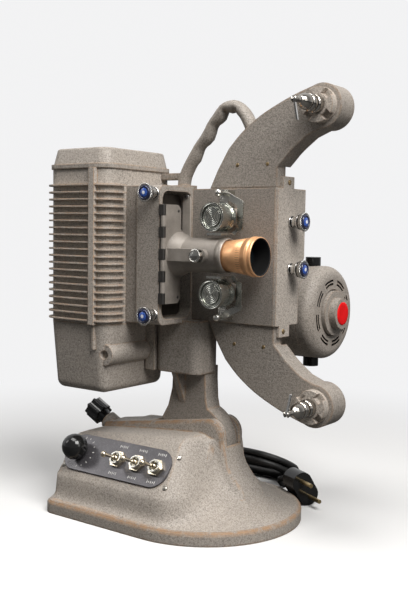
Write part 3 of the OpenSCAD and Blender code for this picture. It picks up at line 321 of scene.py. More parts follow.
def lens_metal(name, look):
    """Copper barrel with index ticks outside and dull black threads inside."""
    s = Shading(name)
    centre, axis = (0.0, LENS_Y, LENS_Z), (1, 0, 0)
    ticks, half, soft, pitch = 48.0, 2.0 * MM, 0.2 * MM, 1.4 * MM
    along, turn = s.polar(centre, axis, "zt")
    inside = s.inward(centre, axis)
    smear = s.noise(80.0, 4.0, 0.65)
    fine = s.noise(900.0, 2.0, 0.5)
    copper = tuple(look.copper)
    colour = s.mix(smear.fit(0.35, 0.75) * 0.5, copper, scaled(copper, 0.68))
    band = along.between(TICK_X - half - soft, TICK_X + half, soft)
    tick = (turn * ticks).sine().fit(0.80, 0.92) * band
    colour = s.mix(tick * 0.8, colour, (0.10, 0.035, 0.012))
    colour = s.mix(inside, colour, grey(0.006))
    thread = (along * (2 * math.pi / pitch)).sine()
    height = fine * 0.1 + thread * inside * 0.6 - tick * 0.3
    return s.set(Base_Color=colour, Metallic=(1.0 - inside) * 0.5,
                 Roughness=0.28 + smear * 0.12 + inside * 0.45,
                 Normal=s.bump(height, 0.4, 0.2 * MM, s.rounded(0.4 * MM)))


def clear_glass(name, tint, rough=0.02, clear=0.9):
    """Glass with a faint haze."""
    s = Shading(name)
    haze = s.noise(60.0, 3.0, 0.6)
    return s.set(Base_Color=s.mix(haze.fit(0.4, 0.8) * 0.3, tint, scaled(tint, 0.85)),
                 Roughness=rough + haze.fit(0.5, 0.9) * 0.05, IOR=1.5,
                 Transmission_Weight=clear, Specular_IOR_Level=0.6)


def flex_rubber(name):
    """Black rubber flex with a dull bloom."""
    s = Shading(name)
    bloom = s.noise(120.0, 4.0, 0.65)
    fine = s.noise(1600.0, 2.0, 0.6)
    shade = s.mix(bloom.fit(0.4, 0.75) * 0.5, grey(0.012), (0.045, 0.043, 0.042))
    return s.set(Base_Color=shade, Roughness=0.42 + bloom * 0.2,
                 Normal=s.bump(fine, 0.08, 0.1 * MM))


def mark_paint(name, colour):
    """Filled-in paint of the panel marks, chipped here and there."""
    s = Shading(name)
    chip = s.noise(900.0, 3.0, 0.6)
    return s.set(Base_Color=s.mix(chip.fit(0.4, 0.7), colour, scaled(colour, 0.55)),
                 Roughness=0.5 + chip * 0.2)


# Mesh helpers

def new_object(name, mesh, body, material):
    made = bpy.data.objects.new(name, mesh)
    bpy.context.scene.collection.objects.link(made)
    mesh.materials.clear()
    mesh.materials.append(material)
    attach(made, body)
    return made


def piece(name, build, body, material):
    """A new object whose bmesh is filled by build."""
    return new_object(name, mesh_from(name, build), body, material)


def mesh_from(name, build):
    """A mesh whose bmesh is filled by build."""
    shape = bmesh.new()
    build(shape)
    bmesh.ops.recalc_face_normals(shape, faces=shape.faces)
    mesh = bpy.data.meshes.new(name)
    shape.to_mesh(mesh)
    shape.free()
    return mesh


def lathe(shape, profile, at, steps=48, index=0):
    """Turn a profile of (radius, height) in millimetres about the local Z of a matrix."""
    angles = [2 * math.pi * k / steps for k in range(steps)]
    rings = []
    for radius, height in profile:
        ring = [(radius * math.cos(a), radius * math.sin(a), height) for a in angles]
        spots = ring if radius else ring[:1]
        rings.append([shape.verts.new(at @ (Vector(spot) * MM)) for spot in spots])
    for low, high in zip(rings, rings[1:]):
        for k in range(steps):
            j = (k + 1) % steps
            round_face = ((low, k), (low, j), (high, j), (high, k))
            corners = [ring[i % len(ring)] for ring, i in round_face]
            face = shape.faces.new(list(dict.fromkeys(corners)))
            face.material_index = index
            face.smooth = True


def facing(origin, axis):
    """A matrix at origin whose Z runs along axis and whose Y leans upward."""
    z = Vector(axis).normalized()
    x = UP.cross(z)
    x = x.normalized() if x.length > 1e-6 else Vector((1, 0, 0))
    y = z.cross(x)
    turn = Matrix((x, y, z)).transposed().to_4x4()
    return Matrix.Translation(Vector(origin)) @ turn


def joint_frame(name):
    joint = JOINTS[name]
    return facing(joint["pos_m"], joint["axis"])


def dress(material, *names):
    for name in names:
        slots = NODES[name].data.materials
        slots.clear()
        slots.append(material)


def smooth_skin(node, body, material, sharp):
    """A copy of a facetted casting whose small facets shade as one surface."""
    mesh = NODES[node].data.copy()
    if "custom_normal" in mesh.attributes:
        mesh.attributes.remove(mesh.attributes["custom_normal"])
    shape = bmesh.new()
    shape.from_mesh(mesh)
    bmesh.ops.remove_doubles(shape, verts=shape.verts, dist=1e-6)
    for face in shape.faces:
        face.smooth = True
    for edge in shape.edges:
        edge.smooth = len(edge.link_faces) == 2 and edge.calc_face_angle() < math.radians(sharp)
    shape.to_mesh(mesh)
    shape.free()
    made = new_object(node + "_skin", mesh, body, material)
    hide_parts(node)


def surface_tree(node):
    mesh = NODES[node].data
    return BVHTree.FromPolygons([v.co for v in mesh.vertices],
                                [face.vertices for face in mesh.polygons])


def on_surface(node, spot, inward):
    """A matrix where a line from a spot first meets a node, facing out of its surface."""
    place, normal = surface_tree(node).ray_cast(Vector(spot), Vector(inward))[:2]
    if place is None:
        raise RuntimeError("no surface of " + node + " under " + str(tuple(spot)))
    return facing(place, normal)


def screw_head(shape, at, radius, height, turn):
    """A domed head with a slot of painted shade, in millimetres, on the plane of a matrix."""
    lathe(shape, [(radius, -0.6), (radius, height * 0.35), (radius * 0.86, height * 0.72),
                  (radius * 0.55, height), (0, height * 1.08)], at, 28)
    # The slot is a box standing in the head, given the second material: painted shade for the
    # inside of a cut slot.
    half, wide = radius * 0.9, radius * 0.14
    slot = at @ Matrix.Rotation(turn, 4, "Z")
    verts = [shape.verts.new(slot @ (Vector((x, y, z)) * MM))
             for z in (0.82 * height, 1.12 * height)
             for x, y in ((-half, -wide), (half, -wide), (half, wide), (-half, wide))]
    for ring in ((0, 3, 2, 1), (4, 5, 6, 7), (0, 1, 5, 4), (1, 2, 6, 5), (2, 3, 7, 6),
                 (3, 0, 4, 7)):
        shape.faces.new([verts[i] for i in ring]).material_index = 1


# Settings

class ProjectorFinish(bpy.types.PropertyGroup):
    enamel: FloatVectorProperty(name="Enamel", description="Colour of the hammered enamel",
                                subtype="COLOR", size=3, default=(0.385, 0.345, 0.305))
    dust: FloatVectorProperty(name="Dust", description="Colour of the dusty patches on the enamel",
                              subtype="COLOR", size=3, default=(0.37, 0.31, 0.25))
    primer: FloatVectorProperty(name="Primer", description="Colour where the enamel is rubbed away",
                                subtype="COLOR", size=3, default=(0.44, 0.26, 0.135))
    plate: FloatVectorProperty(name="Plating", description="Colour of the bright plate",
                               subtype="COLOR", size=3, default=(0.72, 0.71, 0.69))
    copper: FloatVectorProperty(name="Lens barrel", description="Colour of the lens barrel",
                                subtype="COLOR", size=3, default=(0.95, 0.52, 0.26))
    panel: FloatVectorProperty(name="Panel", description="Colour of the control panel",
                               subtype="COLOR", size=3, default=(0.105, 0.100, 0.108))
    jewel: FloatVectorProperty(name="Jewel", description="Colour of the set jewels",
                               subtype="COLOR", size=3, default=(0.035, 0.10, 0.42))
    hub_red: FloatVectorProperty(name="Hub disc", description="Colour of the disc on the motor hub",
                                 subtype="COLOR", size=3, default=(0.86, 0.010, 0.012))


class ProjectorTrim(bpy.types.PropertyGroup):
    cord_d: FloatProperty(name="Cord", description="Diameter of the mains cord",
                          unit="LENGTH", default=6 * MM)
    jewel_r: FloatProperty(name="Jewel radius", description="Radius of a set jewel",
                           unit="LENGTH", default=4.4 * MM)
    disc_r: FloatProperty(name="Hub disc radius", description="Radius of the disc on the motor hub",
                          unit="LENGTH", default=10.7 * MM)
    screw_r: FloatProperty(name="Panel screw", description="Radius of a panel screw's head",
                           unit="LENGTH", default=2.3 * MM)
    arm_screw_r: FloatProperty(name="Arm screw", description="Radius of an arm screw's head",
                               unit="LENGTH", default=1.7 * MM)
    coil_loops: IntProperty(name="Cord loops", description="Loops in the stored coil",
                            default=5, min=1, max=8)


class ProjectorStage(bpy.types.PropertyGroup):
    backdrop: FloatVectorProperty(name="Backdrop",
                                  description="Colour of the backdrop as the camera sees it",
                                  subtype="COLOR", size=3, default=(0.893, 0.893, 0.900))
    key_watts: FloatProperty(name="Key lamp", description="Power of the softbox at the upper right",
                             default=27.0)
    top_watts: FloatProperty(name="Top lamp", description="Power of the softbox above the front",
                             default=13.0)
    right_watts: FloatProperty(name="Right lamp",
                               description="Power of the low softbox on the right",
                               default=2.0)
    left_watts: FloatProperty(name="Left lamp", description="Power of the small left softbox",
                              default=1.8)
    ambient: FloatProperty(name="Ambient", description="Strength of the even light", default=0.012)
    room: FloatProperty(name="Room",
                        description="Brightness of the room in front, as metal shows it",
                        default=0.26)


# Pieces

class PROJECTOR_OT_camera(bpy.types.Operator):
    """Set the camera where the picture was taken from"""
    bl_idname = "projector.camera"
    bl_label = "Camera"

    def execute(self, context):
        turn, dip, roll = math.radians(36.34), math.radians(4.87), math.radians(0.9)
        level = math.cos(dip)
        view = Vector((-math.sin(turn) * level, math.cos(turn) * level, -math.sin(dip)))
        flat = Vector((math.cos(turn), math.sin(turn), 0))
        rise = flat.cross(view)
        right = flat * math.cos(roll) + rise * math.sin(roll)
        up = rise * math.cos(roll) - flat * math.sin(roll)
        target = Vector((16.5, -10, 196)) * MM
        distance, focal_px, sensor_mm, picture_px = 0.8, 880, 36, 612
        data = bpy.data.cameras.new("view")
        data.lens = focal_px * sensor_mm / picture_px
        camera = bpy.data.objects.new("view", data)
        context.scene.collection.objects.link(camera)
        turned = Matrix((right, up, -view)).transposed().to_4x4()
        camera.matrix_world = Matrix.Translation(target - view * distance) @ turned
        context.scene.camera = camera
        return {"FINISHED"}


class PROJECTOR_OT_cord(bpy.types.Operator):
    """Lay the mains cord from its gland through the coil to the plug"""
    bl_idname = "projector.cord"
    bl_label = "Mains cord"

    def coil_place(self, loops, cord):
        """Middle of the coil, its way up the lean and off the pile, its inner bend and step."""
        lean, bend, step = math.radians(28), 18.0, cord + 0.6
        middle = Vector((-30, 114.6, 3.2 + (bend + step * loops / 2) * math.sin(lean)))
        across = Vector((0, -math.cos(lean), math.sin(lean)))
        above = Vector((0, math.sin(lean), math.cos(lean)))
        return middle, across, above, bend, step

    def tie(self, loops, cord):
        """A band round the upper run of the coil."""
        middle, across, above, bend, step = self.coil_place(loops, cord)
        slack, corner = 0.2, 3.0
        low, high = bend - cord / 2 - slack, bend + step * (loops / 2 - 0.4) + cord / 2 + slack
        centre = middle + across * (low + high) / 2 + above * step / 2
        wide, tall = (high - low) / 2, step / 2 + cord / 2 + slack

        def loop(grow, x):
            spots = []
            for k in range(TIE_STEPS):
                turn = 2 * math.pi * (k + 0.5) / TIE_STEPS
                c, d = math.cos(turn), math.sin(turn)
                spots.append(centre + Vector((x, 0, 0))
                             + across * (math.copysign(wide - corner, c) + (corner + grow) * c)
                             + above * (math.copysign(tall - corner, d) + (corner + grow) * d))
            return spots

        def build(shape):
            rings = [[shape.verts.new(q * MM) for q in loop(grow, x)]
                     for grow, x in ((0, -2.6), (0.35, -3), (0.6, -2.4),
                                     (0.6, 2.4), (0.35, 3), (0, 2.6))]
            for a, b in zip(rings, rings[1:] + rings[:1]):
                for k in range(TIE_STEPS):
                    j = (k + 1) % TIE_STEPS
                    shape.faces.new([a[k], a[j], b[j], b[k]]).smooth = True
        return mesh_from("cord_tie", build)

    def coil_point(self, i, loops, cord):
        """Knot i of the coil, each half of a loop being a straight run and then a half turn."""
        run, straight = 70.0, 3
        middle, across, above, bend, step = self.coil_place(loops, cord)
        t = i / LOOP_KNOTS
        r = bend + step * abs(loops / 2 - t)
        layer = min(1, max(0, 2 * (t - loops / 2) + 0.5))
        half, k = divmod(i % LOOP_KNOTS, LOOP_KNOTS // 2)
        turn = math.pi * max(0, k - straight) / (LOOP_KNOTS // 2 - straight)
        u = run / 2 - run * min(k, straight) / straight - r * math.sin(turn)
        v = -r * math.cos(turn)
        side = -1 if half else 1
        return middle + Vector((u * side, 0, 0)) + across * v * side + above * layer * step

    def execute(self, context):
        trim = context.scene.projector_trim
        cord, loops = trim.cord_d / MM, trim.coil_loops
        coil = [self.coil_point(i, loops, cord) for i in range(LOOP_KNOTS * loops + 4)]
        gland_end = Vector((-123.8, 66, 20))
        lead = [Vector(p) for p in [
            (-110, 144, 5.6), (-126, 139, 3.4), (-139, 128, 3.2), (-147, 113, 3.2), (-149, 97, 4),
            (-145, 82, 8), (-137, 71, 14.5)]]
        tail = [Vector(p) for p in [
            (14.5, 144, 3.2), (22.5, 139.5, 3.2), (27, 132, 3.2), (28.5, 123, 3.3), (29, 114, 5.5),
            (31.5, 106, 10.5), (36, 99.5, 15.2)]]
        plug_rear, plug_turn = Vector((47, 95.5, 17)), math.radians(-29.4)
        plug_way = Vector((math.cos(plug_turn), math.sin(plug_turn), 0))
        leave = (coil[-1] - coil[-2]).normalized()
        enter = (coil[0] - coil[1]).normalized()
        route = [gland_end, gland_end - Vector((cord, 0, 0)), *reversed(lead),
                 coil[-1] + leave * cord, *reversed(coil), coil[0] + enter * cord, *tail,
                 plug_rear - plug_way * cord, plug_rear]
        data = bpy.data.curves.new("mains_cord", "CURVE")
        data.dimensions = "3D"
        data.resolution_u = 4
        data.bevel_depth = trim.cord_d / 2
        data.bevel_resolution = 4
        data.use_fill_caps = True
        line = data.splines.new("BEZIER")
        line.bezier_points.add(len(route) - 1)
        for knot, spot in zip(line.bezier_points, route):
            knot.co = spot * MM
            knot.handle_left_type = knot.handle_right_type = "AUTO"
        flex = bpy.data.objects.new("mains_cord", data)
        context.scene.collection.objects.link(flex)
        data.materials.append(flex_rubber("flex rubber"))
        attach(flex, "base")
        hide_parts("cord_lead", "cord_coil", "cord_tail")
        context.view_layer.update()
        band = new_object("cord_tie", self.tie(loops, cord), "base",
                          black_moulding("tie band", grey(0.02), 0.5))
        return {"FINISHED"}


class PROJECTOR_OT_castings(bpy.types.Operator):
    """Paint the castings with hammered enamel, lighter or darker per casting as painted light and
    shade
    """
    bl_idname = "projector.castings"
    bl_label = "Castings"

    def slots(self, s):
        """Painted shade in and round the air slots of the motor's end bell."""
        spot = JOINTS["motor_spin"]["pos_m"]
        away, along, turn = s.polar((0.0, spot[1], spot[2]), (1, 0, 0), "rzt")
        share = turn.math("FRACT", (turn + math.pi / 2) / (math.pi / 4))
        arc = share.fit(0.66, 0.68, 1.0, 0.0)
        soft = 0.2 * MM
        rows = away.between(26.0 * MM, 27.9 * MM, soft) + away.between(29.2 * MM, 31.1 * MM, soft)
        return arc * rows * along.fit(80 * MM, 84 * MM)

    def execute(self, context):
        look = context.scene.projector_finish

        def coat(name, ease, wear, lift, soot_and_shade=None):
            return hammered_enamel(name + " enamel", look, ease * MM, wear, lift, soot_and_shade)
        # The last number of each coat lightens or darkens its enamel: painted light on lit
        # castings, painted shade on shaded ones.
        smooth_skin("base_casting", "base", coat("stand", 2.2, 0.9, 1.0), 24)
        dress(coat("stem", 2.2, 0.7, 0.72), "stem_casting")
        dress(coat("gate", 1.2, 0.5, 0.8), "gate_block")
        dress(coat("mechanism", 1.2, 0.5, 0.68), "mech_housing")
        dress(coat("cover", 1.2, 0.5, 1.12), "front_cover")
        smooth_skin("lower_housing", "head", coat("housing", 1.2, 0.5, 0.95), 30)
        smooth_skin("lamphouse_cap", "head", coat("cap", 1.2, 0.5, 0.86), 30)
        arms = coat("arm", 2.2, 0.4, 0.76)
        dress(arms, "upper_arm", "lower_arm")
        smooth_skin("handle", "head", arms, 60)
        dress(coat("fin", 0.8, 1.0, 1.1), "lamphouse_shell")
        dress(coat("motor", 1.0, 0.35, 0.84), "motor_shell", "motor_rotor")
        dress(coat("bell", 1.0, 0.35, 0.84, self.slots), "motor_bell")
        dress(coat("collar", 1.0, 0.4, 1.1), "arm_bearings")
        dress(satin_plate("carrier satin", scaled(look.enamel, 0.66), 0.4, 0.12), "lens_carrier")
        return {"FINISHED"}


class PROJECTOR_OT_far_wall(bpy.types.Operator):
    """Close the opening in the stand's far wall, between its body and its round skirt"""
    bl_idname = "projector.far_wall"
    bl_label = "Far wall of the stand"

    def bridge(self, left, right, fall, run):
        """The wall between two rims: their slopes carried on, or straight if these don't meet."""
        blend, least = 4.0, 0.2
        meet = right[0]
        if fall < run - least:
            meet = (right[1] - run * right[0] - left[1] + fall * left[0]) / (fall - run)

        def wall(x):
            if not left[0] < meet < right[0]:
                return left[1] + (right[1] - left[1]) * (x - left[0]) / (right[0] - left[0])
            a, b = left[1] + fall * (x - left[0]), right[1] + run * (x - right[0])
            near = max(blend - abs(a - b), 0) / blend
            return max(a, b) + near * near
        return wall

    def rows(self):
        """Rows of places up the wall, on the casting or, where it is open, on the bridge."""
        tree = surface_tree("base_casting")
        outside, hollow, margin, columns = 200, 20, 5, 24
        foot, rise, start, step, back = 12.5, 1.5, -8, 0.25, 8

        def depth(x, z):
            return tree.ray_cast(Vector((x, outside, z)) * MM, Vector((0, -1, 0)))[0].y / MM
        heights = [foot + rise * i for i in range(34)]
        across = [start + step * i for i in range(113)]
        spans = {}
        for z in heights:
            reach = [depth(x, z) for x in across]
            empty = [i for i, y in enumerate(reach) if y < hollow]
            if empty:
                a, b = empty[0] - 1, empty[-1] + 1
                fall = (reach[a] - reach[a - back]) / (back * step)
                run = (reach[b + back] - reach[b]) / (back * step)
                wall = self.bridge((across[a], reach[a]), (across[b], reach[b]), fall, run)
                spans[z] = (across[a], across[b], wall)
        for z in heights:
            left, right, wall = spans[min(spans, key=lambda known: abs(known - z))]
            width = right - left + 2 * margin
            places = [left - margin + width * j / columns for j in range(columns + 1)]
            yield [(x, wall(x) if z in spans and left < x < right else depth(x, z), z)
                   for x in places]

    def execute(self, context):
        grid = list(self.rows())
        tall, wide = len(grid), len(grid[0])

        def sheet(shape):
            lift, sink, thick = 0.2, 0.4, 2.5
            outer, inner = [], []
            for i, row in enumerate(grid):
                rim = [i in (0, tall - 1) or j in (0, wide - 1) for j in range(wide)]
                outer.append([shape.verts.new(Vector((x, y - sink if edge else y + lift, z)) * MM)
                              for (x, y, z), edge in zip(row, rim)])
                inner.append([shape.verts.new(Vector((x, y - thick, z)) * MM) for x, y, z in row])
            for i in range(tall - 1):
                for j in range(wide - 1):
                    for side in (outer, inner):
                        shape.faces.new([side[i][j], side[i][j + 1], side[i + 1][j + 1],
                                         side[i + 1][j]]).smooth = True
            edge = [(0, j) for j in range(wide)] + [(i, wide - 1) for i in range(1, tall)]
            edge += [(tall - 1, j) for j in range(wide - 2, -1, -1)]
            edge += [(i, 0) for i in range(tall - 2, 0, -1)]
            for (i, j), (k, m) in zip(edge, edge[1:] + edge[:1]):
                shape.faces.new([outer[i][j], outer[k][m], inner[k][m], inner[i][j]])
        piece("base_far_wall", sheet, "base", bpy.data.materials["stand enamel"])
        return {"FINISHED"}


class PROJECTOR_OT_hardware(bpy.types.Operator):
    """Finish the plated, turned and moulded pieces"""
    bl_idname = "projector.hardware"
    bl_label = "Hardware"

    def execute(self, context):
        look = context.scene.projector_finish
        dress(bright_plate("bright plate", look.plate), "upper_latch", "lower_latch")
        dress(bright_plate("warm nickel", (0.72, 0.64, 0.50), 0.14), "switch_nuts",
              "toggle_motor", "toggle_lamp", "toggle_direction")
        dress(bright_plate("dull plate", (0.60, 0.59, 0.55), 0.22, 0.3 * MM, 0.06),
              "keeper_posts", "upper_keeper", "lower_keeper", "switch_bodies")
        for reel in ("upper", "lower"):
            joint = JOINTS[reel + "_sprocket_spin"]
            dress(ringed_plate(reel + " sprocket plate", joint["pos_m"], joint["axis"],
                               (0.62, 0.63, 0.58)), reel + "_sprocket")
        dress(bright_plate("ground steel", (0.46, 0.45, 0.43), 0.3, 0.3 * MM, 0.1),
              "base_plate", "pivot_pin", "shutter_shaft", "worm_shaft", "claw")
        dress(bright_plate("hinge steel", (0.10, 0.095, 0.09), 0.35, 0.3 * MM, 0.1),
              "hinge_leaf")
        dress(bright_plate("aged brass", (0.55, 0.42, 0.22), 0.3, 0.2 * MM), "plug_pins",
              "tilt_nut")
        dress(bright_plate("gate steel", (0.13, 0.12, 0.11), 0.35, 0.3 * MM, 0.1),
              "aperture_plate")
        dress(black_moulding("black moulding", grey(0.010)), "speed_knob", "tilt_knob",
              "brush_caps", "rheostat", "lamp_socket", "plug_body")
        dress(flex_rubber("gland rubber"), "cord_gland")
        dress(satin_plate("panel satin", tuple(look.panel), 0.2), "panel_plate")
        dress(clear_glass("lamp glass", (0.9, 0.92, 0.93)), "lamp", "condensers")
        # The lens glasses let no light through and are near black: painted shade for the dark
        # inside of the lens.
        dress(clear_glass("dark lens", (0.012, 0.016, 0.018), 0.04, 0.0), "lens_glasses")
        return {"FINISHED"}


class PROJECTOR_OT_lens(bpy.types.Operator):
    """Turn the copper lens barrel, its black lining and the ring of its holder"""
    bl_idname = "projector.lens"
    bl_label = "Lens barrel"

    def execute(self, context):
        look = context.scene.projector_finish
        front = BARREL[1].x / MM
        at = facing((0, LENS_Y, LENS_Z), (1, 0, 0))

        def turned(profile):
            return lambda shape: lathe(shape, [(r, front + x) for x, r in profile], at, 96)
        shell = [(-80, 11.0), (-80, 13.0), (-31, 13.0), (-30.6, 13.2), (-22, 14.3), (-12.2, 15.7),
                 (-11.8, 15.4), (-11.2, 15.4), (-10.8, 15.9), (-7.2, 16.4), (-6.9, 16.9),
                 (-6.2, 17.1), (-4.6, 17.1), (-3.9, 16.7), (-3.5, 16.3), (-3.1, 16.3),
                 (-2.7, 16.7), (-0.8, 16.9), (-0.2, 16.6), (0, 16.1), (-0.1, 15.6),
                 (-0.6, 15.2), (-7.9, 12.1), (-12, 11.0), (-80, 11.0)]
        made = piece("lens_shell", turned(shell), "lens",
                     lens_metal("copper barrel", look))
        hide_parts("lens_barrel")
        lining = [(-0.75, 15.14), (-2.5, 14.3), (-7.9, 11.95), (-10, 11.4), (-12, 10.9),
                  (-40, 10.9)]
        black = Shading("lining black")
        soot_and_shade = black.noise(500.0, 3.0, 0.6)
        black.set(Base_Color=black.mix(soot_and_shade, grey(0.003), grey(0.009)),
                  Roughness=0.75 + soot_and_shade * 0.2, Specular_IOR_Level=0.12)
        piece("lens_lining", turned(lining), "lens", black.material)
        ring = [(-38, 14.0), (-38, 15.0), (-32.4, 15.0), (-31.6, 14.7), (-31.4, 14.2),
                (-31.6, 14.0), (-38, 14.0)]
        piece("holder_ring", turned(ring), "lens_carrier",
              satin_plate("ring satin", scaled(look.enamel, 0.85), 0.35, 0.3))
        return {"FINISHED"}


class PROJECTOR_OT_spindles(bpy.types.Operator):
    """Turn the reel spindles with their grooves and slotted tips"""
    bl_idname = "projector.spindles"
    bl_label = "Reel spindles"

    def execute(self, context):
        plate = bright_plate("spindle plate", (0.46, 0.43, 0.39), 0.1)
        reach = 38
        for reel in ("upper", "lower"):
            spot = JOINTS[reel + "_spindle_spin"]["pos_m"]
            low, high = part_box(reel + "_spindle")
            hub = low.y + reach * MM
            at = facing((spot[0], hub, spot[2]), (0, -1, 0))
            rear = (hub - high.y) / MM
            shaft = [(0, rear), (8.0, rear), (8.4, rear + 0.4), (8.4, rear + 4.2), (5, rear + 4.2),
                     (5, 0.1), (7.5, 0.1), (7.5, 6.5), (7.0, 7.2), (6.6, 7.4), (6.6, 8.2),
                     (7.1, 8.5), (7.1, 14.5), (6.6, 15.2), (6.2, 15.4), (6.2, 16.2), (6.6, 16.6),
                     (6.4, 19.5), (5.6, 22.5), (4.4, 24.8), (2.9, 26.2), (2.2, 27), (2.0, 31),
                     (2.4, 32.3), (0, 32.3)]
            tip = [(0, 32), (2.3, 32), (2.5, 32.9), (2.8, 34.2), (2.95, 35.4), (2.7, 36.6),
                   (1.9, 37.6), (0, reach)]

            def turned(shape):
                lathe(shape, shaft, at)
                for side in (1, -1):
                    half = bmesh.new()
                    lathe(half, tip, at)
                    bmesh.ops.bisect_plane(
                        half, geom=[*half.verts, *half.edges, *half.faces], clear_inner=True,
                        plane_co=at @ Vector((side * SLOT_HALF, 0, 0)),
                        plane_no=at.to_3x3() @ Vector((side, 0, 0)))
                    bmesh.ops.holes_fill(half, edges=[e for e in half.edges if e.is_boundary])
                    prong = bpy.data.meshes.new("prong")
                    half.to_mesh(prong)
                    half.free()
                    shape.from_mesh(prong)
                    bpy.data.meshes.remove(prong)
            made = piece(reel + "_reel_spindle", turned, reel + "_spindle", plate)
            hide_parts(reel + "_spindle")
        return {"FINISHED"}


class PROJECTOR_OT_small_screws(bpy.types.Operator):
    """Set the small screws of the arms and the front cover"""
    bl_idname = "projector.small_screws"
    bl_label = "Small screws"

    def execute(self, context):
        trim = context.scene.projector_trim

        def heads(shape):
            for arm, x, z, turn in (("upper_arm", 49, 322, 0.3), ("upper_arm", 80, 322, 1.2),
                                    ("lower_arm", 49, 164, 0.8), ("lower_arm", 80, 164, 2.2)):
                at = on_surface(arm, Vector((x, -60, z)) * MM, (0, 1, 0))
                screw_head(shape, at, trim.arm_screw_r / MM, 0.5, turn)
            for y, z, turn in ((8, COVER[1].z / MM - 5, 0.9), (3, COVER[0].z / MM + 5, 0.2)):
                at = on_surface("front_cover", Vector((140, y, z)) * MM, (-1, 0, 0))
                screw_head(shape, at, trim.screw_r / MM, 0.9, turn)
        made = piece("small_screws", heads, "head",
                     bright_plate("dirty brass", (0.30, 0.22, 0.12), 0.4, 0.2 * MM))
        # The second material paints the slot boxes in shade.
        made.data.materials.append(black_moulding("screw slot painted shade", grey(0.01), 0.6))
        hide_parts("head_screws")
        return {"FINISHED"}


class PROJECTOR_OT_clamp(bpy.types.Operator):
    """Shape the domed head of the lens clamp screw"""
    bl_idname = "projector.clamp"
    bl_label = "Clamp screw"

    def execute(self, context):
        at = joint_frame("clamp_turn")

        def head(shape):
            lathe(shape, [(2.5, -14), (2.5, 0.2), (3.6, 0.2), (3.6, 3.0), (5.6, 3.0), (6.0, 3.4),
                          (6.0, 8.0), (5.6, 8.6), (4.9, 8.9), (4.5, 8.5), (3.6, 8.6), (2.2, 8.9),
                          (0, 9.0)], at, 12)
            for face in shape.faces:
                face.smooth = False
        made = piece("clamp_head", head, "clamp_screw",
                     bright_plate("clamp plate", (0.52, 0.51, 0.48), 0.16))
        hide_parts("clamp_screw")
        return {"FINISHED"}


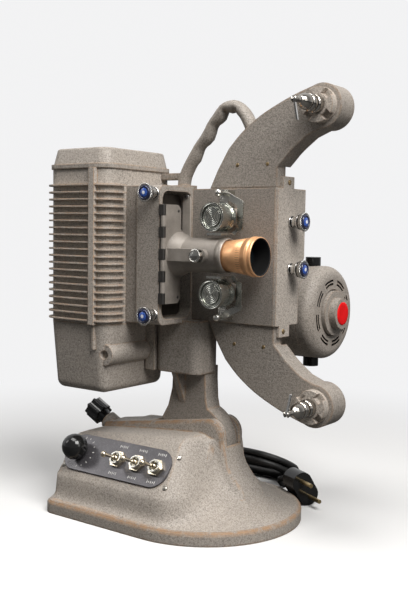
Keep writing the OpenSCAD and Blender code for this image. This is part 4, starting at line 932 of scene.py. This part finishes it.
class PROJECTOR_OT_jewels(bpy.types.Operator):
    """Turn the thumb knobs and set a blue jewel in each"""
    bl_idname = "projector.jewels"
    bl_label = "Thumb knobs and jewels"

    def blue_glass(self, look):
        """Clouded blue glass with a painted highlight in its middle and painted shade round its
        rim.
        """
        s = Shading("blue jewel")
        away, = s.polar((0, 0, 0), UP, "r")
        cloud = s.noise(900.0, 3.0, 0.6)
        blue = s.mix(cloud.fit(0.35, 0.7), scaled(look.jewel, 0.6), scaled(look.jewel, 1.7))
        # The pale spot in the middle of the dome is a painted highlight.
        pale = s.mix(away.fit(1.2 * MM, 1.9 * MM), (0.85, 0.88, 0.93), blue)
        # The dark ring at the dome's edge is painted shade.
        rim = s.mix(away.fit(3.7 * MM, 4.2 * MM), pale, (0.01, 0.015, 0.06))
        return s.set(Base_Color=rim, Roughness=0.14 + cloud * 0.06, Coat_Weight=0.6)

    def bezel(self, look):
        """Plated setting of a jewel, knurled outside."""
        s = Shading("bezel plate")
        away, turn = s.polar((0, 0, 0), UP, "rt")
        knurl = (turn * 36.0).sine() * away.fit(5.0 * MM, 5.3 * MM)
        smear = s.noise(200.0, 3.0, 0.6)
        colour = s.mix(smear.fit(0.35, 0.7) * 0.4, tuple(look.plate), scaled(look.plate, 0.6))
        return s.set(Base_Color=colour, Metallic=1.0, Roughness=0.18 + smear * 0.12,
                     Normal=s.bump(knurl, 0.6, 0.25 * MM))

    def shank(self, look):
        """Turned plate of a knob with a knurled rim, darker in its grooves and knurl as painted
        shade.
        """
        s = Shading("knob plate")
        along, turn = s.polar((0, 0, 0), UP, "zt")
        smear = s.noise(200.0, 3.0, 0.6)
        soft = 0.2 * MM
        # Painted shade in the groove at the flange and in the corner above the foot.
        dark = along.between(9.1 * MM, 10.3 * MM, soft) + along.between(1.5 * MM, 2.6 * MM, soft)
        knurl = (turn * 40.0).sine() * along.fit(11.0 * MM, 11.4 * MM)
        colour = s.mix(smear.fit(0.35, 0.7) * 0.4, tuple(look.plate), scaled(look.plate, 0.55))
        colour = s.mix(dark, colour, (0.03, 0.025, 0.02))
        # The knurl's troughs are painted dark as painted shade.
        colour = s.mix(knurl.fit(-0.9, 0.1, 0.75, 0.0), colour, (0.05, 0.045, 0.04))
        return s.set(Base_Color=colour, Metallic=1.0, Roughness=0.16 + smear * 0.12,
                     Normal=s.bump(knurl, 0.6, 0.3 * MM))

    def execute(self, context):
        look = context.scene.projector_finish
        finish, rim, plate = self.blue_glass(look), self.bezel(look), self.shank(look)
        turned = [(0, -3), (3, -3), (3, 0.1), (5.3, 0.1), (5.3, 1.5), (4.5, 1.8), (4.5, 5.8),
                  (5.4, 6.6), (6.4, 7.4), (6.6, 8.2), (6.9, 9.1), (6.4, 9.4), (6.4, 10.2),
                  (7.3, 10.6), (7.9, 12.2), (8.2, 13.2), (8.2, 14.2), (7.9, 14.5), (6.3, 14.5),
                  (6.2, 13.5), (0, 13.5)]
        r = context.scene.projector_trim.jewel_r / MM
        stone = [(0, 2.15), (r * 0.35, 2.08), (r * 0.7, 1.8), (r * 0.93, 1.45), (r, 1.15)]
        setting = [(r, 1.1), (r + 0.2, 1.0), (r + 0.4, 1.75), (r + 0.8, 1.95), (r + 1.5, 1.7),
                   (r + 1.7, 1.0), (r + 1.7, 0.1)]
        seat = Matrix.Translation((0, 0, 13.6 * MM))
        here = Matrix.Identity(4)

        def knob_body(shape):
            lathe(shape, turned, here, 64)

        def jewel(shape):
            lathe(shape, stone, here, 40)
            lathe(shape, setting, here, 72, 1)
        for knob in ("gate_knob_top", "gate_knob_bottom", "cover_knob_top", "cover_knob_bottom"):
            at = joint_frame(knob + "_turn")
            made = piece(knob + "_body", knob_body, knob, plate)
            made.matrix_world = at
            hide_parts(knob)
            made = piece(knob + "_jewel", jewel, knob, finish)
            made.data.materials.append(rim)
            made.matrix_world = at @ seat
        return {"FINISHED"}


class PROJECTOR_OT_hub_disc(bpy.types.Operator):
    """Put the red disc on the motor hub"""
    bl_idname = "projector.hub_disc"
    bl_label = "Hub disc"

    def execute(self, context):
        s = Shading("red enamel")
        cloud = s.noise(90.0, 3.0, 0.6)
        red = context.scene.projector_finish.hub_red
        s.set(Base_Color=s.mix(cloud.fit(0.4, 0.75), tuple(red), scaled(red, 0.8)),
              Roughness=0.5 + cloud * 0.15, Specular_IOR_Level=0.15)
        r = context.scene.projector_trim.disc_r / MM
        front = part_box("motor_rotor")[1].x
        axis = JOINTS["motor_spin"]["pos_m"]
        at = facing((front, axis[1], axis[2]), (1, 0, 0))
        profile = [(0, 0.7), (r * 0.8, 0.7), (r * 0.97, 0.5), (r, 0.1), (r, -0.2)]
        piece("hub_disc", lambda shape: lathe(shape, profile, at), "motor_rotor",
              s.material)
        return {"FINISHED"}


class PROJECTOR_OT_panel_trim(bpy.types.Operator):
    """Set the panel's screws in the stand and fill in its marks"""
    bl_idname = "projector.panel_trim"
    bl_label = "Panel screws and marks"

    def execute(self, context):
        trim = context.scene.projector_trim
        low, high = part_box("panel_plate")
        up = Vector((0, math.sin(PANEL_LEAN), math.cos(PANEL_LEAN)))
        out = Vector((0, -math.cos(PANEL_LEAN), math.sin(PANEL_LEAN)))
        middle = (low + high) / 2
        side = Vector((1, 0, 0))
        steel = bright_plate("screw plate", (0.40, 0.38, 0.34), 0.3)

        def screws(shape):
            for x, y, turn in ((63, 15, 0.4), (63, -15, 1.1), (-58.5, 15, 2.0), (-58.5, -15, 0.9)):
                spot = middle + side * x * MM + up * y * MM + out * 40 * MM
                at = on_surface("base_casting", spot, -out)
                screw_head(shape, at, trim.screw_r / MM, 1.1, turn)
        made = piece("panel_screws", screws, "base", steel)
        # The second material paints the slot boxes in shade.
        made.data.materials.append(black_moulding("panel slot painted shade", grey(0.02), 0.6))

        paint_t, dial_r, row = 0.03 * MM, 14.6, 13.2
        face = middle + out * (PANEL_T / 2 + paint_t)

        def marks(shape):
            def bar(x, y, wide, tall, turn=0.0):
                spin = Matrix.Rotation(turn, 2)
                corners = [spin @ Vector(c) / 2 for c in (
                    (-wide, -tall), (wide, -tall), (wide, tall), (-wide, tall))]
                shape.faces.new([shape.verts.new(face + side * (x + c.x) * MM + up * (y + c.y) * MM)
                                 for c in corners])
            for lever in ("motor_switch", "lamp_switch", "direction_switch"):
                x = (JOINTS[lever]["pos_m"][0] - middle.x) / MM
                for y in (row, -row):
                    for k in range(-2, 3):
                        bar(x + 2.0 * k, y, 0.7, 2.6 if k % 2 == 0 else 1.7)
            dial = (JOINTS["speed_turn"]["pos_m"][0] - middle.x) / MM
            for k in range(11):
                turn = math.radians(-125 + 22 * k)
                bar(dial + dial_r * math.cos(turn), dial_r * math.sin(turn),
                    2.2 if k % 2 == 0 else 1.4, 0.7, turn)
        piece("panel_marks", marks, "base", mark_paint("mark paint", (0.80, 0.79, 0.76)))
        return {"FINISHED"}


class PROJECTOR_OT_gate_guide(bpy.types.Operator):
    """Screw the film guide plate to the inner wall of the gate"""
    bl_idname = "projector.gate_guide"
    bl_label = "Gate guide"

    def execute(self, context):
        look = context.scene.projector_finish
        wall = on_surface("gate_block", Vector((-2, -30, 283)) * MM, (0, 1, 0)).translation.y
        thick, sink = 2 * MM, 0.2 * MM
        face = wall - thick
        corners = [(-6.5, 256), (2.2, 256), (2.2, 300), (-5, 300), (-6.5, 298.5)]

        def plate(shape):
            front, rear = ([shape.verts.new(Vector((x * MM, y, z * MM))) for x, z in corners]
                           for y in (face, wall + sink))
            shape.faces.new(front)
            shape.faces.new(rear)
            for i in range(len(corners)):
                j = (i + 1) % len(corners)
                shape.faces.new([front[i], front[j], rear[j], rear[i]])
        piece("gate_guide", plate, "head",
              satin_plate("guide satin", scaled(look.enamel, 1.15), 0.4, 0.12))
        at = facing((-1.3 * MM, face, 295.2 * MM), (0, -1, 0))
        made = piece("gate_guide_screw", lambda shape: screw_head(shape, at, 2.3, 1.4, 1.2),
                     "head", bright_plate("guide screw plate", look.plate))
        # The second material paints the slot box in shade.
        made.data.materials.append(black_moulding("guide slot painted shade", grey(0.01), 0.6))
        return {"FINISHED"}


class PROJECTOR_OT_carrier_pins(bpy.types.Operator):
    """Drive the small pins into the lens carrier's plate"""
    bl_idname = "projector.carrier_pins"
    bl_label = "Carrier pins"

    def execute(self, context):
        low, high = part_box("lens_carrier")

        def pins(shape):
            inset = 5.4 * MM
            for z in (high.z - inset, low.z + inset):
                at = on_surface("lens_carrier", (high.x, PIN_Y, z), (-1, 0, 0))
                lathe(shape, [(1.3, -0.3), (1.3, 0.15), (0.95, 0.3), (0.6, 0.1), (0, 0.05)], at, 20)
        piece("carrier_pins", pins, "lens_carrier",
              bright_plate("pin steel", (0.10, 0.095, 0.09), 0.4))
        return {"FINISHED"}


class PROJECTOR_OT_stage(bpy.types.Operator):
    """Set the pale floor, backdrop and soft studio lamps"""
    bl_idname = "projector.stage"
    bl_label = "Stage"

    def softbox(self, context, name, spot, size, watts):
        aim, warm = Vector((0.0, 0.0, 0.2)), (1.0, 0.985, 0.965)
        data = bpy.data.lights.new(name, "AREA")
        data.shape = "RECTANGLE"
        data.size, data.size_y = size
        data.energy = watts
        data.color = warm
        lamp = bpy.data.objects.new(name, data)
        context.scene.collection.objects.link(lamp)
        lamp.matrix_world = facing(spot, Vector(spot) - aim)

    def studio(self, scene, stage):
        """The world: pale to the camera, a dim-fronted room to metal, faint light to the rest."""
        front = (0.58, -0.80, 0.12)
        scene.world = bpy.data.worlds.new("studio")
        w = Nodes(scene.world)
        lean = w.dot(w.node("ShaderNodeTexCoord", out="Generated"), front)
        seen = w.node("ShaderNodeBackground", {}, {"Color": stage.backdrop})
        mirror = w.node("ShaderNodeBackground", {}, {
            "Color": stage.backdrop, "Strength": lean.fit(-0.5, 0.35, 0.8, stage.room)})
        even = w.node("ShaderNodeBackground", {}, {"Color": grey(1.0), "Strength": stage.ambient})
        glossy = w.node("ShaderNodeLightPath", out="Is Glossy Ray")
        camera = w.node("ShaderNodeLightPath", out="Is Camera Ray")
        metal = w.node("ShaderNodeMixShader", {}, {0: glossy, 1: even, 2: mirror})
        choose = w.node("ShaderNodeMixShader", {}, {0: camera, 1: metal, 2: seen})
        w.node("ShaderNodeOutputWorld", {}, {"Surface": choose})

    def pale_floor(self, stage):
        """Floor that keeps its shadow and fades into the backdrop as the camera sees it."""
        s = Shading("pale floor")
        away = s.node("ShaderNodeVectorMath", {"operation": "LENGTH"}, {0: s.place()}, "Value")
        mottle = s.noise(3.0, 2.0, 0.5)
        camera = s.node("ShaderNodeLightPath", out="Is Camera Ray")
        pale = s.mix(mottle, grey(0.80), grey(0.84))
        s.set(Base_Color=s.mix(camera, grey(0.06), pale), Roughness=0.7)
        glow = s.node("ShaderNodeEmission", {}, {"Color": stage.backdrop})
        near, far = 0.22, 0.75
        blend = s.node("ShaderNodeMixShader", {}, {
            0: away.fit(near, far) * camera, 1: s.surface, 2: glow})
        s.feed(s.output.made.inputs["Surface"], blend)
        return s.material

    def execute(self, context):
        scene, stage = context.scene, context.scene.projector_stage
        scene.view_settings.view_transform = "Standard"
        self.studio(scene, stage)
        for name, spot, size, watts in (
                ("key_box", (0.95, -0.45, 1.3), (0.8, 0.8), stage.key_watts),
                ("top_box", (-0.1, -0.35, 1.5), (0.9, 0.7), stage.top_watts),
                ("right_box", (1.3, -0.25, 0.7), (0.5, 0.8), stage.right_watts),
                ("left_box", (-1.05, -0.75, 0.85), (0.35, 0.5), stage.left_watts)):
            self.softbox(context, name, spot, size, watts)

        def sheet(shape):
            reach = 6.0
            bmesh.ops.create_grid(shape, x_segments=4, y_segments=4, size=reach)
        floor = bpy.data.objects.new("floor", mesh_from("floor", sheet))
        scene.collection.objects.link(floor)
        floor.data.materials.append(self.pale_floor(stage))
        return {"FINISHED"}


class PROJECTOR_PT_panel(bpy.types.Panel):
    """Buttons for the projector's pieces"""
    bl_label = "Projector"
    bl_idname = "PROJECTOR_PT_panel"
    bl_space_type = "VIEW_3D"
    bl_region_type = "UI"
    bl_category = "Projector"

    def draw(self, context):
        for item in PIECES:
            self.layout.operator(item.bl_idname)
        for group in ("projector_finish", "projector_trim", "projector_stage"):
            settings = getattr(context.scene, group)
            for name in settings.bl_rna.properties.keys():
                if name not in ("rna_type", "name"):
                    self.layout.prop(settings, name)


PIECES = [PROJECTOR_OT_camera, PROJECTOR_OT_cord, PROJECTOR_OT_castings, PROJECTOR_OT_far_wall,
          PROJECTOR_OT_hardware, PROJECTOR_OT_jewels, PROJECTOR_OT_lens, PROJECTOR_OT_clamp,
          PROJECTOR_OT_spindles, PROJECTOR_OT_small_screws, PROJECTOR_OT_hub_disc,
          PROJECTOR_OT_panel_trim, PROJECTOR_OT_gate_guide, PROJECTOR_OT_carrier_pins,
          PROJECTOR_OT_stage]
SETTINGS = {"projector_finish": ProjectorFinish, "projector_trim": ProjectorTrim,
            "projector_stage": ProjectorStage}


def register():
    for item in [*SETTINGS.values(), *PIECES, PROJECTOR_PT_panel]:
        bpy.utils.register_class(item)
    for name, group in SETTINGS.items():
        setattr(bpy.types.Scene, name, PointerProperty(type=group))


def unregister():
    for name in SETTINGS:
        delattr(bpy.types.Scene, name)
    for item in reversed([*SETTINGS.values(), *PIECES, PROJECTOR_PT_panel]):
        bpy.utils.unregister_class(item)


def main():
    register()
    for item in PIECES:
        group, verb = item.bl_idname.split(".")
        getattr(getattr(bpy.ops, group), verb)()


if __name__ == "__main__":
    main()
